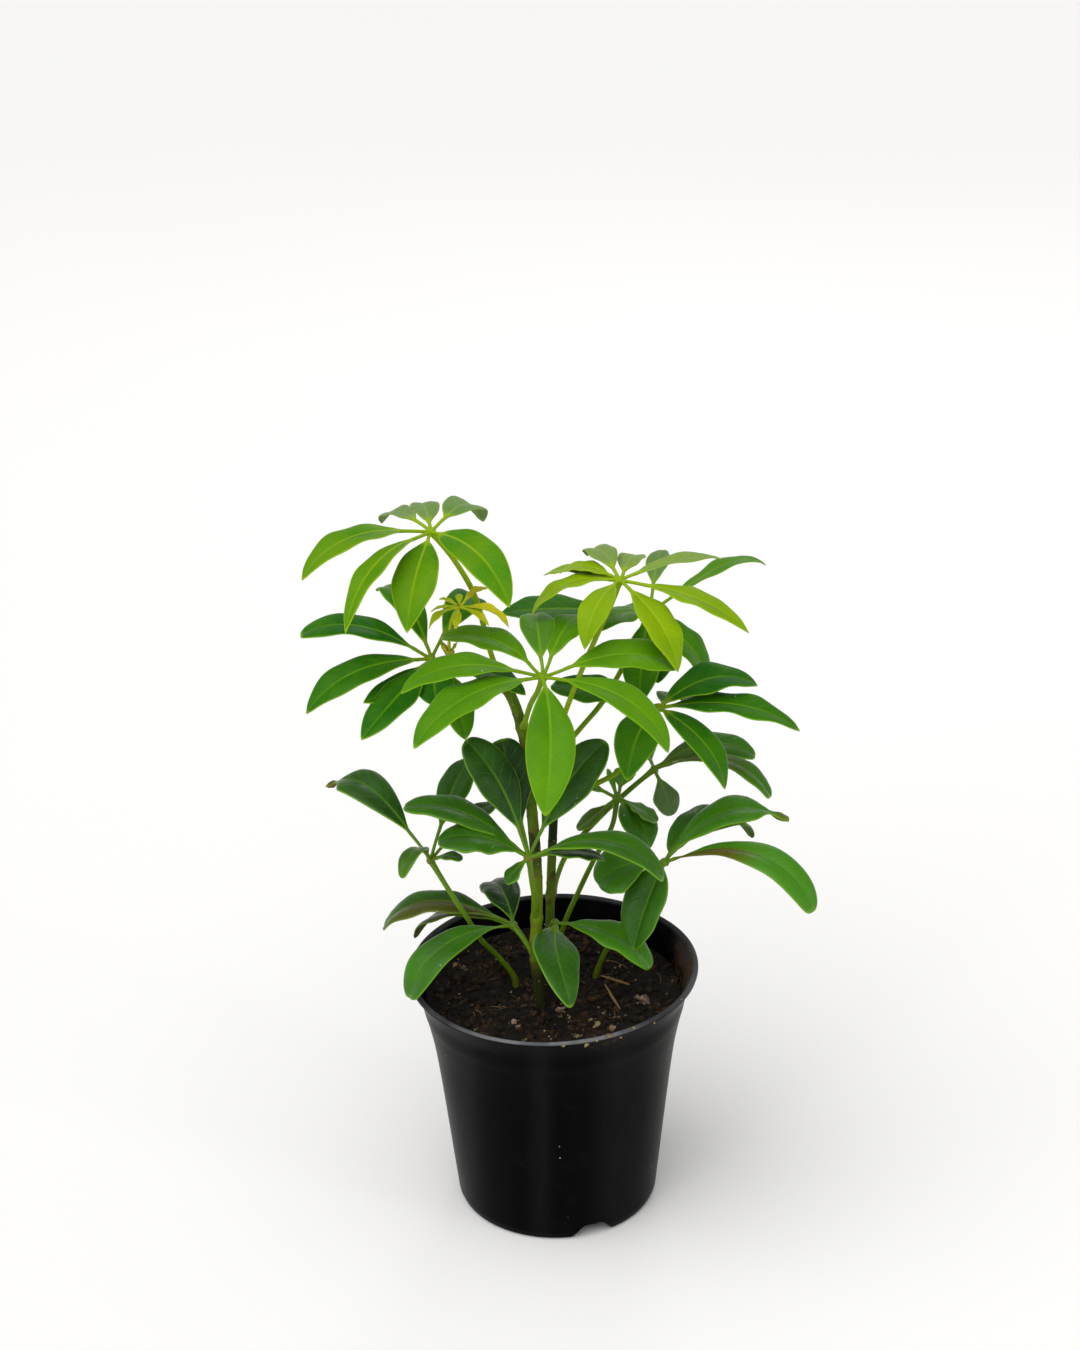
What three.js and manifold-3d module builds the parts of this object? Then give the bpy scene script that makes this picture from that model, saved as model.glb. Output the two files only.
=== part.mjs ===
// A dwarf umbrella plant in a plastic nursery pot.
// Millimetres, +Z up. The pot's axis is x = y = 0 and its underside is z = 0.
// A compass heading is an angle in the ground plane: 0 points along +X and 90 along +Y.

import * as THREE from 'three';
import { mergeVertices } from 'three/addons/utils/BufferGeometryUtils.js';
import Module from 'manifold-3d';

const wasm = await Module();
wasm.setup();

// Pot: a trumpet-shaped rim on a straight tapered body
const POT_HEIGHT = 108;
const RIM_RADIUS = 60;
const FOOT_RADIUS = 41.5;
const WALL = 1.5;
const FLOOR = 2;
const LIP_DEPTH = 2.4;
const POT_SIDES = 40;
const NOTCH_WIDTH = 22;
const NOTCH_HEIGHT = 6.5;
const NOTCH_REACH = 9;
const NOTCH_HEADINGS = [50, 170, 290];

// The pot's outer wall from the lip down: depth below the rim, and radius
const FLARE = [
  [LIP_DEPTH, 58.6],
  [6, 56.9],
  [10, 55.4],
  [16, 54.2],
  [25, 52.2],
  [36, 50.2],
];

// Soil: its top lies below the rim and heaves a little
const SOIL_TOP = 96;
const SOIL_HEAVE = 1.4;
const SOIL_RINGS = 5;
const ROOT_END = 66;
const CLEARANCE = 0.3;

// Stems and leaves
const STEM_SIDES = 8;
const PETIOLE_SIDES = 6;
const BLADE_THICKNESS = 0.8;
const STALK_RADIUS = 0.9;
const HUB_RADIUS = 2.4;
const PETIOLE_RADIUS = 1.3;
const PETIOLE_FOOT = 1.7;
const MIDRIB_STEPS = 48;
const SMALL_BLADE = 29;
const BLADE_STATIONS = [0, 0.13, 0.34, 0.58, 0.82, 1];
const LONG_BLADE = 42;
const LONG_STATIONS = [0, 0.12, 0.3, 0.52, 0.74, 0.92, 1];
const SMALL_STATIONS = [0, 0.25, 0.6, 1];

const COLOURS = {
  pot: 0x17181a,
  soil: 0x2a1d15,
  stem: 0x6b7f2c,
  young: 0x86b02a,
  middle: 0x4f8f22,
  old: 0x2f6a26,
  bronze: 0xa9a02c,
};

// How a blade's half width runs from base to tip. peak is the power that places
// the widest point, base and tip are how pointed the two ends are.
const FORMS = {
  young: { peak: 0.95, base: 0.85, tip: 0.9 },
  middle: { peak: 1.05, base: 0.8, tip: 0.75 },
  old: { peak: 1.25, base: 0.85, tip: 0.5 },
  ovate: { peak: 0.8, base: 0.75, tip: 0.6 },
  full: { peak: 0.95, base: 0.62, tip: 0.8 },
  blunt: { peak: 1.35, base: 0.75, tip: 0.42 },
  spoon: { peak: 1.6, base: 0.85, tip: 0.38 },
};

// Stems: points along the centre line from the soil up, then the two end radii
const STEMS = [
  {
    name: 'stem_main',
    radii: [2.5, 2.1],
    route: [
      [-6, -14, ROOT_END], [-6, -14, 90], [-6, -14, 97], [-7, -12, 120], [-6, -9, 153], [-8, -5, 192],
      [-10, -2, 215], [-16, 2, 233], [-26, 8, 240], [-39, 13, 243],
    ],
  },
  {
    name: 'stem_second',
    radii: [2.0, 1.7],
    route: [
      [-1, 6, ROOT_END], [-1, 6, 90], [-1, 6, 98], [-1, 6, 124], [0, 8, 148], [2, 10, 180], [5, 12, 208],
    ],
  },
];

// Fronds. Each is one petiole with its ring of leaflets. The petiole runs from its
// seat on a stem, or from below the soil, up to the hub. A leaflet is
// [heading, stalk, length, width, rise, droop, roll, sweep, extras]: rise is the pitch
// it leaves the hub with, and droop is how far it has turned down at its tip.
const FRONDS = [
  {
    name: 'frond_top_left',
    seat: 'stem_main',
    form: 'young',
    fold: 8,
    hub: [-44, 5, 300],
    petiole: [[-18, 3.2, 234.4], [-23, 10, 248], [-28, 13, 269], [-36, 9, 287]],
    leaflets: [
      [211, 14, 48, 16.5, 14, 69, -3, 2, { form: 'full' }],
      [236, 12, 56, 11.5, 5, 77, 5, 3],
      [257, 6, 44, 18, -14, 52, 0, 0],
      [306, 6, 51, 16.5, 9, 75, 19, 2, { form: 'full' }],
      [60, 10.5, 34, 16, 13, 94, 9, 0, { curl: 40 }],
      [100, 6, 26, 12, 18, 60, 0, 0],
      [138, 9, 22, 13, 18, 90, 0, 0],
    ],
  },
  {
    name: 'frond_left',
    seat: 'stem_main',
    form: 'middle',
    fold: 6,
    hub: [-46, 5, 246],
    petiole: [[-25, 6, 238], [-36, 5, 241]],
    leaflets: [
      [173, 8, 48, 19, 32, 63, -6, 7, { form: 'blunt' }],
      [202, 6, 52, 17.5, 8, 61, -12, 4],
      [239, 5, 43, 16.5, -15, 22, -8, -16],
      [222, 5, 30, 11, -19, -12, -17, -8],
      [276, 5, 19, 16, -21, 23, 5, 0],
      [124, 6.5, 43, 14, 56, 100, 0, 0],
      [60, 12, 41, 14, 35, 97, 22, 11],
      [334, 8, 35, 17, 0, 35, 0, 0],
      [300, 6, 32, 15, -25, 55, 0, 0],
    ],
  },
  {
    name: 'frond_young',
    seat: 'stem_main',
    form: 'young',
    colour: 'bronze',
    fold: 20,
    hubRadius: 1.6,
    hub: [-34, 2, 269.5],
    petiole: [[-39, 12, 244], [-38.8, 11.5, 252], [-37.2, 9, 262]],
    leaflets: [
      [346, 3, 20, 7, 5, 75, 0, 0],
      [32, 3, 12, 5, 38, 60, 0, 0],
      [92, 2, 7, 3, 25, 40, 0, 0],
      [150, 2, 8, 3, 22, 40, 0, 0],
      [184, 3, 9, 3, 6, 50, 0, 0],
      [214, 3, 14, 4, 2, 75, 0, 0],
      [262, 3, 9, 4, -10, 60, 0, 0],
      [322, 3, 13, 4, -2, 50, 0, 0],
    ],
  },
  {
    name: 'frond_centre',
    seat: 'stem_main',
    form: 'middle',
    fold: 9,
    hub: [-2, -28, 252],
    petiole: [[-10, -3, 219], [-7, -12, 233], [-4, -21, 243]],
    leaflets: [
      [281, 4, 54.5, 19.5, -30, 30, -6, -27],
      [331, 10, 53, 18, 4, 76, 4, 0],
      [17, 11, 45, 18, 13, 48, 21, -10, { form: 'blunt' }],
      [67, 10, 33, 15, 30, 55, 0, 0],
      [94, 9, 35, 14, 32, 62, 0, 0],
      [125, 9.5, 43, 17, 16, 35, -5, 41, { form: 'blunt' }],
      [192, 11, 48, 17, 20, 64, -9, 0],
      [216, 8, 57, 20, 9, 59, -3, 0],
    ],
  },
  {
    name: 'frond_top_right',
    seat: 'stem_second',
    form: 'young',
    fold: 8,
    hub: [29, 5, 278],
    petiole: [[5, 12, 207], [6, 10, 216], [9, 8.5, 226], [14, 8.5, 239], [21, 8, 256], [27, 6, 271]],
    leaflets: [
      [243, 5, 35, 13, 0, 80, 0, 0],
      [310, 7, 39.5, 15.5, -20, 58, 3, -3],
      [338, 11, 46, 13.5, -3, 39, 3, -2],
      [21, 7.5, 38, 11.5, 14, 36, -3, 1],
      [72, 6, 24, 11, 15, 60, 0, 0],
      [190, 4, 37, 12, 10, 80, 0, 0],
      [147, 5, 32, 12, 6, 42, 0, 0],
      [118, 6, 24, 13, 34, 100, 0, 0],
      [160, 5, 22, 12, 22, 70, 0, 0],
    ],
  },
  {
    name: 'frond_back_right',
    seat: 'stem_second',
    form: 'middle',
    fold: 8,
    hub: [42, 40, 249],
    petiole: [[4, 12, 200], [15, 17, 211], [22, 21, 218], [34, 32, 235]],
    leaflets: [
      [18, 13.5, 42, 13, 29, 71, -4, -8, { bend: 3 }],
      [77, 13.5, 21.5, 10, 42, 55, -5, -3],
      [226, 5, 30, 18, 20, 48, 0, 0],
      [337, 2.5, 37, 20, -29, 53, 7, 11],
      [258, 4, 36, 16.5, -31, 47, 8, 2],
      [280, 4, 26, 17, -46, 10, 0, -5],
      [190, 19, 43, 17.5, 9, 12, -18, 3],
      [118, 6, 30, 14, -8, 50, 0, 0],
    ],
  },
  {
    name: 'frond_right',
    seat: 'stem_second',
    form: 'middle',
    fold: 8,
    hub: [44, 0, 225],
    petiole: [[2, 9.7, 177], [9, 10, 182], [19, 10.5, 186.5], [28.5, 11, 192], [35, 9, 203], [40, 4, 216]],
    leaflets: [
      [19, 3, 42, 20.5, 32, 72, 9, -10],
      [353, 4, 55, 18, 10, 50, 6, 0],
      [320, 3, 42, 16.5, -15, 68, 0, 5, { form: 'full' }],
      [241, 2.5, 39.5, 17.5, -2, 53, -16, 16, { form: 'full' }],
      [70, 6, 38, 16, -8, 40, 0, 0],
      [148, 6.5, 43.5, 18, 3, 12, -13, -2, { form: 'blunt' }],
    ],
  },
  {
    name: 'frond_back_low_right',
    seat: 'stem_second',
    form: 'old',
    fold: 8,
    hub: [44, 40, 178],
    petiole: [[0, 8, 137], [6, 22, 147], [20, 36, 157], [33, 40, 168]],
    leaflets: [
      [17, 3, 44, 16.5, 29, 73, 14.5, -17.5, { form: 'blunt' }],
      [345, 7, 50, 15, 24, 90, -5, -11, { form: 'spoon' }],
      [305, 4, 17, 13, -48, 25, 0, 0],
      [100, 6, 34, 12, 5, 50, 0, 0],
    ],
  },
  {
    name: 'frond_back_centre',
    seat: 'soil',
    form: 'old',
    fold: 8,
    hub: [28, 30, 170],
    petiole: [
      [2, 30, ROOT_END], [2, 30, 90], [2, 30, 97], [5, 30, 110], [12, 29, 128], [18, 28, 142], [26, 29, 158],
    ],
    leaflets: [
      [104, 2, 14, 3, 32, 20, 0, 0],
      [172, 5, 22, 12, 26, 30, 0, 0],
      [193, 4.5, 17, 11.5, -36, 0, -5, -5],
      [312, 3.5, 23.5, 18, -20, 59, 0, -1, { form: 'full' }],
      [330, 2.7, 17.5, 12, -11, 28, -10, 0, { form: 'spoon' }],
      [72, 5, 13, 10, 32, 40, 0, 0],
    ],
  },
  {
    name: 'frond_low_centre',
    seat: 'stem_main',
    form: 'old',
    fold: 8,
    hub: [-9, -25, 172],
    petiole: [[-7, -10.5, 136], [-7, -17, 147], [-8, -22, 160]],
    leaflets: [
      [159, 8, 49.5, 16.5, 36, 59, -9, 5, { form: 'blunt' }],
      [182, 4.5, 34.5, 21, 34, 64, -10, -5],
      [140, 12, 42, 17.5, 67, 34, -24, 13.5, { form: 'blunt' }],
      [123, 12.5, 36.5, 20, 71, 13, 0, -3, { form: 'spoon' }],
      [35, 12, 44.5, 21, 57, 33, 20, -4],
      [347, 8, 55, 17, 28, 98, 5, 0],
      [20, 6, 28, 14, 0, 40, 0, 0],
      [210, 2, 12, 9, -30, 30, 0, 0],
    ],
  },
  {
    name: 'frond_left_outer',
    seat: 'soil',
    form: 'old',
    fold: 8,
    hub: [-49, -5, 161],
    petiole: [
      [-16, 7, ROOT_END], [-16, 7, 90], [-16, 7, 97], [-23, 3, 111], [-29.5, -2.5, 122],
      [-35.5, -6.5, 136], [-41, -8, 147],
    ],
    leaflets: [
      [140, 14, 54, 18, 40, 108, -11, -4, { bend: 2, curl: 50 }],
      [252, 5, 30.5, 9.5, 52, 122, 12, -10],
      [66, 14, 36, 15, 46, 40, 0, 0],
      [40, 13, 26, 11, 32, 40, 0, 0],
      [331, 4, 12, 8, 30, 56, 0, 0],
    ],
  },
  {
    name: 'frond_low_left',
    seat: 'stem_main',
    form: 'old',
    fold: 8,
    hub: [-16, -5, 130],
    petiole: [[-7, -12, 118], [-12, -9, 126]],
    leaflets: [
      [162, 7, 57, 17.5, 20, 84, -9, 3, { form: 'blunt' }],
      [147, 9, 49.5, 13, 1, 70, 0, -2],
      [207, 4.5, 54.5, 18.5, 10, 91, -8, 1, { form: 'spoon' }],
      [101, 2, 37.5, 16, 26, 68, -6, 13],
    ],
  },
  {
    name: 'frond_low_front',
    seat: 'stem_main',
    form: 'old',
    fold: 8,
    hub: [1, -13.5, 132.5],
    petiole: [[-6.8, -11.4, 127], [-4, -12.5, 130.5]],
    leaflets: [
      [266, 1, 44, 20, 4, 54, -19, 25, { form: 'ovate' }],
    ],
  },
  {
    name: 'frond_low_front_right',
    seat: 'stem_second',
    form: 'old',
    fold: 8,
    hub: [1, 0, 128],
    petiole: [[-1, 6, 121], [0, 2.5, 126]],
    leaflets: [
      [335, 5, 42.5, 18, 8, 72, 6, 7, { form: 'blunt' }],
    ],
  },
  {
    name: 'frond_low_right',
    seat: 'soil',
    form: 'old',
    fold: 8,
    hub: [46, -5, 158],
    petiole: [
      [18, 9, ROOT_END], [18, 9, 90], [18, 9, 97], [21, 7, 108], [26, 4, 119], [36, -1, 141],
    ],
    leaflets: [
      [24, 6.5, 43, 16, 41, 116, -7, 3],
      [8, 4.5, 57, 19, 52, 108, 7, 4, { curl: 40 }],
      [332, 5, 73, 16.5, 29, 104, 10, -8, { form: 'spoon', bend: 1.8 }],
      [228, 2.5, 35.5, 23, -51, 21, 1, 0, { form: 'ovate', fold: 25 }],
      [193, 4.5, 26, 24, 7, 67, -21, -9, { form: 'spoon' }],
      [61, 5.5, 38.5, 13.5, 20, 32, -2, 0, { form: 'full' }],
    ],
  },
];
const BEND = 1.5;
const CURL_START = 0.8;

const radians = THREE.MathUtils.degToRad;

// A closed geometry as a solid, its shared corners merged
function solid(geometry) {
  const bare = geometry.clone();
  bare.deleteAttribute('normal');
  bare.deleteAttribute('uv');
  const merged = mergeVertices(bare, 1e-4);
  return new wasm.Manifold(new wasm.Mesh({
    numProp: 3,
    vertProperties: new Float32Array(merged.attributes.position.array),
    triVerts: new Uint32Array(merged.index.array),
  }));
}

function geometryOf(body) {
  const mesh = body.getMesh();
  const geometry = new THREE.BufferGeometry();
  geometry.setAttribute('position', new THREE.BufferAttribute(mesh.vertProperties, 3));
  geometry.setIndex(new THREE.BufferAttribute(mesh.triVerts, 1));
  return geometry;
}

// A closed geometry from rings of equal count. caps closes the two ends.
function loft(rings, stripTriangles, caps) {
  const count = rings[0].length;
  const corners = rings.flat();
  const triangles = [];
  for (let ring = 0; ring + 1 < rings.length; ring += 1) {
    for (let side = 0; side < count; side += 1) {
      const next = (side + 1) % count;
      const low = ring * count;
      const high = low + count;
      triangles.push(...stripTriangles(low + side, low + next, high + next, high + side, side));
    }
  }
  const last = (rings.length - 1) * count;
  caps.forEach(([a, b, c]) => {
    triangles.push(a, c, b);
    triangles.push(last + a, last + b, last + c);
  });
  const geometry = new THREE.BufferGeometry();
  const positions = corners.flatMap((corner) => [corner.x, corner.y, corner.z]);
  geometry.setAttribute('position', new THREE.Float32BufferAttribute(positions, 3));
  geometry.setIndex(triangles);
  return geometry;
}

// A tapered round tube along a smooth curve, with flat ends
function tube(points, radiusStart, radiusEnd, steps, sides) {
  const curve = new THREE.CatmullRomCurve3(points, false, 'centripetal');
  const frames = curve.computeFrenetFrames(steps, false);
  const rings = [];
  for (let step = 0; step <= steps; step += 1) {
    const centre = curve.getPointAt(step / steps);
    const radius = THREE.MathUtils.lerp(radiusStart, radiusEnd, step / steps);
    const ring = [];
    for (let side = 0; side < sides; side += 1) {
      const angle = (side / sides) * 2 * Math.PI;
      ring.push(centre.clone()
        .addScaledVector(frames.normals[step], radius * Math.cos(angle))
        .addScaledVector(frames.binormals[step], radius * Math.sin(angle)));
    }
    rings.push(ring);
  }
  const strip = (a, b, c, d) => [a, b, c, a, c, d];
  const caps = [];
  for (let side = 1; side + 1 < sides; side += 1) {
    caps.push([0, side, side + 1]);
  }
  return loft(rings, strip, caps);
}

// Pot
function potProfile() {
  const outer = FLARE.map(([depth, radius]) => new THREE.Vector2(radius, POT_HEIGHT - depth));
  const inner = FLARE.slice(1).map(
    ([depth, radius]) => new THREE.Vector2(radius - WALL, POT_HEIGHT - depth),
  );
  const footRound = [[FOOT_RADIUS - 2, 0], [FOOT_RADIUS, 0.8], [FOOT_RADIUS + 0.8, 3]];
  return [
    new THREE.Vector2(0, 0),
    ...footRound.map(([radius, height]) => new THREE.Vector2(radius, height)),
    ...outer.reverse(),
    new THREE.Vector2(RIM_RADIUS, POT_HEIGHT - LIP_DEPTH + 0.4),
    new THREE.Vector2(RIM_RADIUS, POT_HEIGHT - 0.6),
    new THREE.Vector2(RIM_RADIUS - 0.8, POT_HEIGHT),
    new THREE.Vector2(RIM_RADIUS - WALL - 0.9, POT_HEIGHT - 0.8),
    ...inner,
    new THREE.Vector2(FOOT_RADIUS - 0.2, FLOOR),
    new THREE.Vector2(0, FLOOR),
  ];
}

function pot() {
  let body = solid(new THREE.LatheGeometry(potProfile(), POT_SIDES).rotateX(Math.PI / 2));
  NOTCH_HEADINGS.forEach((heading) => {
    const notch = new THREE.BoxGeometry(NOTCH_REACH * 2, NOTCH_WIDTH, NOTCH_HEIGHT * 2);
    notch.translate(FOOT_RADIUS, 0, 0).rotateZ(radians(heading));
    body = body.subtract(solid(notch));
  });
  return body;
}

// The inside radius of the pot's wall at a height
function wallInside(height) {
  const depth = POT_HEIGHT - height;
  const stations = [...FLARE, [POT_HEIGHT - FLOOR, FOOT_RADIUS + 1.3]];
  const next = stations.findIndex(([below]) => below >= depth);
  const [depthA, radiusA] = stations[next - 1];
  const [depthB, radiusB] = stations[next];
  return THREE.MathUtils.mapLinear(depth, depthA, depthB, radiusA, radiusB) - WALL;
}

// How far the soil heaves at a place, zero at the wall
function heave(x, y) {
  const edge = 1 - (Math.hypot(x, y) / wallInside(SOIL_TOP)) ** 4;
  const waves = Math.sin(x * 0.13 + 0.6) * Math.cos(y * 0.11 - 0.4) + 0.5 * Math.sin(x * 0.07 - y * 0.16);
  return SOIL_HEAVE * waves * edge;
}

function soil(roots) {
  const shrink = 1 - Math.cos(Math.PI / POT_SIDES);
  const gap = CLEARANCE + shrink * RIM_RADIUS;
  const heights = [SOIL_TOP, POT_HEIGHT - 16, POT_HEIGHT - 25, POT_HEIGHT - 36, NOTCH_HEIGHT + 2];
  const bottom = NOTCH_HEIGHT + CLEARANCE;
  const profile = heights.map((height) => new THREE.Vector2(wallInside(height) - gap, height));
  profile.push(new THREE.Vector2(wallInside(bottom) - gap - 8, bottom));
  profile.push(new THREE.Vector2(0, bottom));
  const top = [];
  for (let ring = 0; ring < SOIL_RINGS; ring += 1) {
    top.push(new THREE.Vector2((wallInside(SOIL_TOP) - gap) * (ring / SOIL_RINGS), SOIL_TOP));
  }
  const outline = [...top, ...profile].reverse();
  const geometry = new THREE.LatheGeometry(outline, POT_SIDES).rotateX(Math.PI / 2);
  const position = geometry.attributes.position;
  for (let index = 0; index < position.count; index += 1) {
    if (position.getZ(index) > SOIL_TOP - 0.01) {
      position.setZ(index, SOIL_TOP + heave(position.getX(index), position.getY(index)));
    }
  }
  let body = solid(geometry);
  roots.forEach(({ x, y, radius }) => {
    const depth = SOIL_TOP + 10 - (ROOT_END - CLEARANCE);
    const hole = new THREE.CylinderGeometry(radius, radius, depth, STEM_SIDES + 2).rotateX(Math.PI / 2);
    hole.translate(x, y, ROOT_END - CLEARANCE + depth / 2);
    body = body.subtract(solid(hole));
  });
  return body;
}

// Stems
const vectors = (route) => route.map(([x, y, z]) => new THREE.Vector3(x, y, z));

function stem({ route, radii }, extra = 0) {
  return solid(tube(vectors(route), radii[0] + extra, radii[1] + extra, route.length * 3, STEM_SIDES));
}

// Leaflets: the midrib's points and directions at a share of the blade's length
function midrib(hub, leaflet, bend) {
  const [heading, stalk, length, , rise, droop, , sweep, extras = {}] = leaflet;
  const curl = extras.curl ?? 0;
  const direction = (share) => {
    const flick = Math.max(0, (share - CURL_START) / (1 - CURL_START));
    return {
      turn: radians(heading + sweep * share),
      pitch: radians(rise - droop * share ** bend + curl * flick ** 2),
    };
  };
  const along = ({ turn, pitch }) => new THREE.Vector3(
    Math.cos(turn) * Math.cos(pitch),
    Math.sin(turn) * Math.cos(pitch),
    Math.sin(pitch),
  );
  const points = [hub.clone().addScaledVector(along(direction(0)), stalk)];
  for (let step = 0; step < MIDRIB_STEPS; step += 1) {
    const ahead = along(direction((step + 0.5) / MIDRIB_STEPS));
    points.push(points[step].clone().addScaledVector(ahead, length / MIDRIB_STEPS));
  }
  const at = (share) => {
    const place = share * MIDRIB_STEPS;
    const low = Math.min(Math.floor(place), MIDRIB_STEPS - 1);
    return points[low].clone().lerp(points[low + 1], place - low);
  };
  return { at, direction };
}

function halfWidth(share, width, form) {
  const swell = Math.max(0, Math.sin(Math.PI * share ** form.peak));
  return Math.max(STALK_RADIUS, (width / 2) * swell ** THREE.MathUtils.lerp(form.base, form.tip, share));
}

// One six-cornered section: the upper face's two margins and rib, then the lower face's
function section(centre, { turn, pitch }, half, thickness, fold, roll) {
  const level = new THREE.Vector3(-Math.sin(turn), Math.cos(turn), 0);
  const upright = new THREE.Vector3(
    -Math.sin(pitch) * Math.cos(turn),
    -Math.sin(pitch) * Math.sin(turn),
    Math.cos(pitch),
  );
  const side = level.clone().multiplyScalar(Math.cos(roll)).addScaledVector(upright, Math.sin(roll));
  const normal = upright.multiplyScalar(Math.cos(roll)).addScaledVector(level, -Math.sin(roll));
  const corner = (across, up) => centre.clone()
    .addScaledVector(side, across * Math.cos(fold))
    .addScaledVector(normal, Math.abs(across) * Math.sin(fold) + up);
  return [
    corner(half, thickness), corner(0, thickness), corner(-half, thickness),
    corner(-half, -thickness), corner(0, -thickness), corner(half, -thickness),
  ];
}

// The two faces of a waved blade are split alike: the lower face mirrors the upper
function bladeStrip(a, b, c, d, side) {
  return side === 3 || side === 4 ? [a, b, d, b, c, d] : [a, b, c, a, c, d];
}

function leafletBody(hub, leaflet, frond) {
  const [, , length, width, , , roll, , extras = {}] = leaflet;
  const form = FORMS[extras.form ?? frond.form];
  const fold = radians(extras.fold ?? frond.fold);
  const rib = midrib(hub, leaflet, extras.bend ?? BEND);
  const longer = length > LONG_BLADE ? LONG_STATIONS : BLADE_STATIONS;
  const stations = length < SMALL_BLADE ? SMALL_STATIONS : longer;
  const start = rib.direction(0);
  const rings = [section(hub, start, STALK_RADIUS, STALK_RADIUS * 0.8, 0, 0)];
  stations.forEach((share) => {
    const half = halfWidth(share, width, form);
    const opening = Math.min(1, half / (3 * STALK_RADIUS));
    const thickness = Math.max(BLADE_THICKNESS / 2, STALK_RADIUS * 0.8 * (1 - share * 20));
    rings.push(section(
      rib.at(share), rib.direction(share), half, thickness, fold * opening, radians(roll) * opening,
    ));
  });
  const caps = [[0, 1, 4], [0, 4, 5], [1, 2, 3], [1, 3, 4]];
  return solid(loft(rings, bladeStrip, caps));
}

function frondBody(frond, stems) {
  const hub = new THREE.Vector3(...frond.hub);
  const route = [...vectors(frond.petiole), hub];
  let petiole = solid(tube(route, PETIOLE_FOOT, PETIOLE_RADIUS, route.length * 2, PETIOLE_SIDES));
  if (frond.seat !== 'soil') {
    petiole = petiole.subtract(stem(stems.find(({ name }) => name === frond.seat), CLEARANCE));
  }
  const knot = new THREE.SphereGeometry(frond.hubRadius ?? HUB_RADIUS, 8, 5).translate(...frond.hub);
  const leaflets = frond.leaflets.map((leaflet) => leafletBody(hub, leaflet, frond));
  return wasm.Manifold.union([petiole, solid(knot), ...leaflets]);
}

// Assembly
const plant = new THREE.Group();

function add(name, body, colour, roughness) {
  const material = new THREE.MeshStandardMaterial({ color: colour, roughness, metalness: 0 });
  const mesh = new THREE.Mesh(geometryOf(body), material);
  mesh.name = name;
  plant.add(mesh);
}

const rootOf = ([x, y], radius) => ({ x, y, radius: radius + 2 * CLEARANCE });
const roots = [
  ...STEMS.map(({ route, radii }) => rootOf(route[0], radii[0])),
  ...FRONDS.filter(({ seat }) => seat === 'soil').map(({ petiole }) => rootOf(petiole[0], PETIOLE_FOOT)),
];

add('pot', pot(), COLOURS.pot, 0.4);
add('soil', soil(roots), COLOURS.soil, 0.95);
STEMS.forEach((entry) => add(entry.name, stem(entry), COLOURS.stem, 0.6));
FRONDS.forEach((frond) => {
  add(frond.name, frondBody(frond, STEMS), COLOURS[frond.colour ?? frond.form], 0.4);
});

export default plant;
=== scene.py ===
"""A dwarf umbrella plant in a black nursery pot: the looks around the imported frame.

Shapes are worked out in millimetres, in the frame of the CAD model, and become metres when
a piece is made. A heading is an angle in the ground plane: 0 points along +X, 90 along +Y.
"""
import math
import random

import bmesh
import bpy
import numpy as np
from mathutils import Matrix, Vector, noise


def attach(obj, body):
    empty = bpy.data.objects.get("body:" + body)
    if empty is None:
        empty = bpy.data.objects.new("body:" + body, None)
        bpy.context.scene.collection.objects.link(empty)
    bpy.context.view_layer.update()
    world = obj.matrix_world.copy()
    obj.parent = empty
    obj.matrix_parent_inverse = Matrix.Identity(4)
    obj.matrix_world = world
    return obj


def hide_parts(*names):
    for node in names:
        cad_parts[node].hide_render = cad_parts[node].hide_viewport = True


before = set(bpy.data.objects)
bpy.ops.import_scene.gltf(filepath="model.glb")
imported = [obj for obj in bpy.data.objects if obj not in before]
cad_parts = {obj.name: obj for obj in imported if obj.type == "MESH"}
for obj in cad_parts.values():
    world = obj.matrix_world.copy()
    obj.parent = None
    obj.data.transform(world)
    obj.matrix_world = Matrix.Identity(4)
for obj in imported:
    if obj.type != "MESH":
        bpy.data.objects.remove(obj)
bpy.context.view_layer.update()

MM = 0.001

# Pot, as in the CAD model
POT_HEIGHT = 108
RIM_RADIUS = 60
FOOT_RADIUS = 41.5
WALL = 1.5
FLOOR = 2
NOTCH_WIDTH = 22
NOTCH_HEIGHT = 6.5
NOTCH_REACH = 9
NOTCH_HEADINGS = [50, 170, 290]
FLARE = [(2.4, 58.6), (6, 56.9), (10, 55.4), (16, 54.2), (25, 52.2), (36, 50.2)]
POT_SIDES = 192
RIM_STEP = 0.16
LIP_LEAN_X = 0.8
LIP_LEAN_Y = 1.0

# Soil
SOIL_TOP = 96
SOIL_HEAVE = 1.4
SOIL_ROUGHNESS = [(1.0, 0.12, 3.1), (0.75, 0.31, 7.7), (0.45, 0.8, 1.3), (0.25, 1.7, 5.9)]
SOIL_RADIUS = 53.4
SOIL_GAP = 0.4
SOIL_SIDES = 170
SOIL_RINGS = 58
CRUMBS = 1150
BARK_FLAKES = 95
FIBRES = 20
FINE_GRIT = 80
ROOT_END = 66

# Leaves
BEND = 1.5
CURL_START = 0.8
RIB_STEPS = 96
STALK_RADIUS = 0.68
PETIOLE_RADIUS = 1.08
YOUNG_PETIOLE_RADIUS = 0.62
PETIOLE_SIDES = 16
BLADE_START = 4.5
OPEN_WIDTH = 2.7
RIB_WIDTH = 0.55
RIB_GROOVE = 0.07
RIB_KEEL = 0.75
VEIN_SPACING = 5.4
VEIN_DEPTH = 0.07
# How thick a blade is, how full its halves are and how far its margins roll back
OLD_BLADE = (0.3, 0.22, 0.16)
OTHER_BLADE = (0.24, 0.12, 0.07)
FOLD = 8
FAR_FROM_BLADE = {"across": 9, "edge": 9, "along": -9, "tone": 0.5}
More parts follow.
